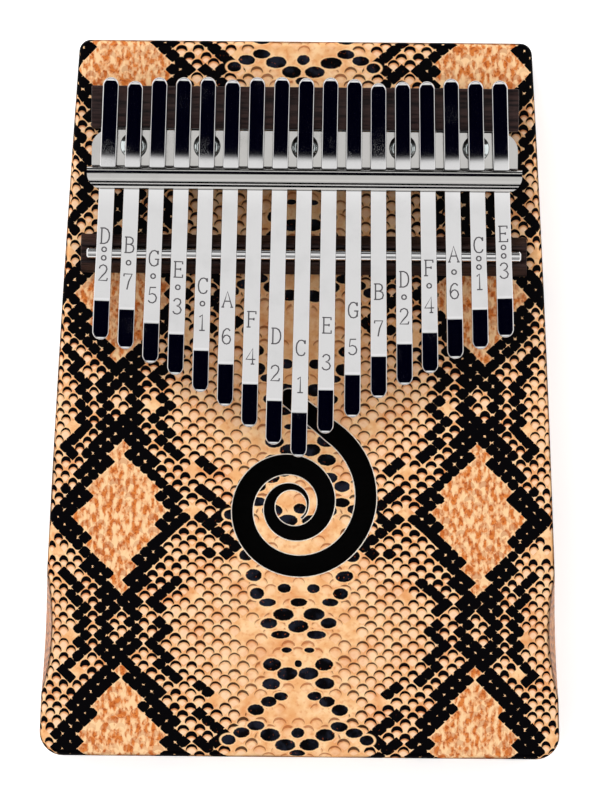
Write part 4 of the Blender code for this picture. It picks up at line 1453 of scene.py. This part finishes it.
class MakeBracket(bpy.types.Operator):
    """Plated sheet bent into a foot, a slotted riser and a hood"""

    bl_idname = "thumb_piano.bracket"
    bl_label = "Pressure Bracket"

    def execute(self, context):
        bars, t = settings("bars"), settings("tines")
        sheet, gap, held = bars.sheet, t.gap, held_bend()
        front_y = BRACKET_LOW.y
        rear_y = front_y + bars.hood_width

        def tine_top(y):
            height, slope = strip(SADDLE_Y - y, held)
            return height + t.thickness / 2 / math.cos(slope)

        comb = t.pitch * (len(NOTES) - 1) + t.width
        foot_half, hood_half = comb / 2 + bars.foot_margin, comb / 2 + bars.hood_margin
        middle = gap + sheet / 2
        riser_y, lip_y = rear_y - sheet / 2, front_y + sheet / 2
        lip = max(tine_top(front_y + reach) for reach in (t.travel, 0, -t.travel, sheet)) + gap
        half, half_hood = sheet / 2, (riser_y - lip_y) / 2
        bend_centre = (riser_y + bars.foot_bend, middle + bars.foot_bend)
        hood_centre = ((riser_y + lip_y) / 2, lip)
        section = [Vector((BRACKET_HIGH.y + MM, middle - half))]
        section += arc(bend_centre, (bars.foot_bend + half,) * 2, 270, 180, 8)
        section += arc(hood_centre, (half_hood - half, bars.hood_rise - half), 0, 180, 20)
        section += arc(hood_centre, (half_hood + half, bars.hood_rise + half), 180, 0, 32)
        section += arc(bend_centre, (bars.foot_bend - half,) * 2, 180, 270, 8)
        section.append(Vector((BRACKET_HIGH.y + MM, middle + half)))
        bracket = add_object(
            "tine_bracket_piece", prism(section, hood_half + MM, TOP), bracket_plate
        )

        side = [(foot_half, BRACKET_HIGH.y, bars.foot_corner), (foot_half, rear_y, 0)]
        side += [(hood_half, rear_y, 0), (hood_half, front_y - TINY, bars.hood_corner)]
        plan = rounded(side[:1] + [(-x, y, radius) for x, y, radius in side] + side[:0:-1])
        levels = [(plan, TOP - MM), (plan, TOP + 20 * MM)]
        boolean(bracket, add_object("bracket_plan", stack(levels)), "INTERSECT")

        windows = bmesh.new()
        top = TOP + tine_top(rear_y + t.travel) + gap
        for note in NOTES:
            tine = Tine(note)
            reach = (SADDLE_Y - riser_y) / -tine.ahead.y - tine.pivot
            x = (tine.pivot_place + tine.ahead * reach).x
            half = t.width / 2 + gap + sheet * abs(tine.ahead.x / tine.ahead.y)
            corners = [(x + i * half, riser_y + j * sheet) for i, j in SQUARE]
            ends = [[windows.verts.new((*p, z)) for p in corners] for z in (TOP + bars.sill, top)]
            windows.faces.new(ends[0])
            windows.faces.new(ends[1])
            skin(windows, ends)
        boolean(bracket, add_object("windows", windows))
        smooth(soften(bracket, bars.sheet_edge, 2, math.radians(50)))
        place_piece(bracket, ["tine_bracket"])
        return {"FINISHED"}


def screw_mesh():
    """A domed screw with a cross recess, its seat at z = 0."""
    bars = settings("bars")
    shank, head, rise = bars.shank / 2, bars.head_diameter / 2, bars.head_height
    low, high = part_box("bracket_screw_1")
    tip = high.z - low.z - rise
    profile = [(0.0, -tip), (0.0004, 0.0004 - tip), (shank, SCREW_POINT - tip), (shank, 0.0)]
    profile += [(head - HEAD_RIM, 0.0), (head, HEAD_RIM)]
    profile += [p[:] for p in arc((0, HEAD_RIM), (head, rise - HEAD_RIM), 12, 84, 8)]
    profile.append((0.0, rise))
    bm = turned(profile, 48, lambda x, y, z: (x, y, z))
    screw = add_object("screw_pattern", bm, screw_plate)
    half, arm = bars.recess_span / 2, bars.recess_arm / 2
    quarter = [Vector((half, -arm)), Vector((half, arm)), Vector((arm, arm))]
    plan = []
    for _ in range(4):
        plan += quarter
        quarter = [Vector((-p.y, p.x)) for p in quarter]
    levels = [([p * 0.55 for p in plan], rise - bars.recess_depth), (plan, rise + 0.0002)]
    boolean(screw, add_object("recess", stack(levels)))
    smooth(soften(screw, 0.00006, 1, math.radians(50)))
    return screw


def driven_screws_tree():
    """A screw at every point, each driven to its own turn."""
    inputs = {"Screw": "Object", "Seed": "Int", "Finish": "Material"}
    w, given, result = new_modifier_tree("driven_screws", inputs)
    pattern = w.node("GeometryNodeObjectInfo", {"Object": given["Screw"]}).outputs["Geometry"]
    chance = {3: math.tau, "Seed": given["Seed"]}
    turn = w.node("FunctionNodeRandomValue", chance, data_type="FLOAT").outputs[1]
    driven = {"Points": given["Geometry"], "Instance": pattern, "Rotation": w.join(0.0, 0.0, turn)}
    copies = w.node("GeometryNodeInstanceOnPoints", driven).outputs[0]
    return finish_tree(w, given, result, copies)


class MakeScrews(bpy.types.Operator):
    """Five cross-recess screws through the bracket's foot"""

    bl_idname = "thumb_piano.screws"
    bl_label = "Bracket Screws"

    def execute(self, context):
        bars = settings("bars")
        names = [f"bracket_screw_{k}" for k in range(1, 6)]
        seats = bmesh.new()
        for name in names:
            low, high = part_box(name)
            middle = (low + high) / 2
            seats.verts.new((middle.x, middle.y, high.z - bars.head_height))
        screws, pattern = add_object("bracket_screws", seats), screw_mesh()
        values = {"Screw": pattern, "Seed": bars.recess_seed, "Finish": finish(screw_plate)}
        run_tree(screws, driven_screws_tree(), values)
        bpy.data.objects.remove(pattern, do_unlink=True)
        place_piece(screws, names)
        return {"FINISHED"}


# ---- the stage ----

CAMERA_PLACE = (-0.00065, -0.00013, 2.326)
CAMERA_ROLL = math.radians(0.52)
CAMERA_LENS = 400.0
PANEL_PLACE = (-0.5, 0.9, 1.0)
PANEL_ENERGY = 8.5
SURROUND_STRENGTH = 1.24
DARKEST_BLUE = 0.0035
FLOOR_DOWN = 0.0002
# brightness at each lean from straight up, towards the head (+) or the tail (-), in degrees
SURROUND = (
    (-90, 1.0), (-62, 1.0), (-59, 0.0), (-39.5, 0.0), (-37.5, 1.0), (-32, 1.0), (-30.5, 0.0),
    (-18.6, 0.0), (-17.2, 0.8), (-6, 1.0), (4, 0.85), (26, 0.85), (29, 0.0), (51, 0.0), (54, 1.0),
    (59, 1.0), (62, 0.02), (80, 0.02), (84, 1.0), (90, 1.0),
)


def surround():
    """A soft white surround with dark strips that the metal mirrors."""
    world = bpy.data.worlds.new("soft_surround")
    world.use_nodes = True
    w = Wiring(world.node_tree)
    x, y, z = w.split(w.node("ShaderNodeTexCoord").outputs["Generated"])
    lean = w.math("ARCTAN2", y, z)
    ramp = w.node("ShaderNodeValToRGB", {"Fac": lean * (1 / math.pi) + 0.5})
    stops = ramp.color_ramp.elements
    for degrees, _ in SURROUND[1:-1]:
        stops.new(degrees / 180 + 0.5)
    for stop, (_, level) in zip(stops, SURROUND):
        stop.color = (level, level, max(level, DARKEST_BLUE), 1.0)
    light = w.mix(w.fade(abs(x), 0.75, 0.5), (1.0, 1.0, 1.0), ramp.outputs["Color"])
    background = world.node_tree.nodes["Background"].inputs
    w.feed_all(background, {"Color": light, "Strength": SURROUND_STRENGTH})
    return world


class MakeStage(bpy.types.Operator):
    """Pale floor, soft light and the camera"""

    bl_idname = "thumb_piano.stage"
    bl_label = "Stage"

    def execute(self, context):
        bm = bmesh.new()
        bmesh.ops.create_grid(bm, x_segments=8, y_segments=8, size=4.0)
        floor = add_object("floor", bm)
        made, w, shader = new_material("pale_floor")
        w.feed_all(shader, {
            "Base Color": (0.95, 0.95, 0.95),
            "Emission Color": (1.0, 1.0, 1.0),
            "Emission Strength": 0.5,
            "Roughness": 0.8,
            "Specular IOR Level": 0.0,
        })
        floor.data.materials.append(made)
        floor.location.z = -FLOOR_DOWN

        lamp = bpy.data.lights.new("soft_panel", "AREA")
        lamp.shape, lamp.size, lamp.size_y, lamp.energy = "RECTANGLE", 0.9, 0.6, PANEL_ENERGY
        panel = bpy.data.objects.new("soft_panel", lamp)
        panel.location = PANEL_PLACE
        panel.rotation_euler = (-panel.location).to_track_quat("-Z", "Y").to_euler()
        panel.visible_glossy = False
        context.scene.collection.objects.link(panel)
        context.scene.world = surround()
        context.scene.view_settings.view_transform = "Standard"

        eye = bpy.data.cameras.new("camera")
        eye.lens, eye.sensor_width, eye.clip_start, eye.clip_end = CAMERA_LENS, 36.0, 0.05, 20.0
        camera = bpy.data.objects.new("camera", eye)
        camera.location = CAMERA_PLACE
        camera.rotation_euler = (0, 0, CAMERA_ROLL)
        context.scene.collection.objects.link(camera)
        context.scene.camera = camera
        return {"FINISHED"}


OPERATORS = (
    MakeFrontBoard, MakeSideWalls, MakeBackBoard, FinishBrace, MakeBackRidge, MakeLowerBridge,
    MakeSaddleRod, MakeBracket, MakeScrews, MakeTines, MakeMarks, MakeStage,
)


class ThumbPianoPanel(bpy.types.Panel):
    """Sizes, finishes and pieces of the thumb piano"""

    bl_idname = "VIEW3D_PT_thumb_piano"
    bl_label = "Thumb Piano"
    bl_space_type = "VIEW_3D"
    bl_region_type = "UI"
    bl_category = "Thumb Piano"

    def draw(self, context):
        for operator in OPERATORS:
            self.layout.operator(operator.bl_idname)
        for name, group in SETTINGS.items():
            box = self.layout.box()
            box.label(text=name.title())
            for prop in group.__annotations__:
                box.prop(settings(name), prop)


def register():
    for cls in (*SETTINGS.values(), *OPERATORS, ThumbPianoPanel):
        bpy.utils.register_class(cls)
    for name, group in SETTINGS.items():
        setattr(bpy.types.Scene, f"thumb_piano_{name}", PointerProperty(type=group))


def unregister():
    for name in SETTINGS:
        delattr(bpy.types.Scene, f"thumb_piano_{name}")
    for cls in (ThumbPianoPanel, *reversed(OPERATORS), *reversed(SETTINGS.values())):
        bpy.utils.unregister_class(cls)


def main():
    register()
    for operator in OPERATORS:
        group, name = operator.bl_idname.split(".")
        getattr(getattr(bpy.ops, group), name)()


if __name__ == "__main__":
    main()
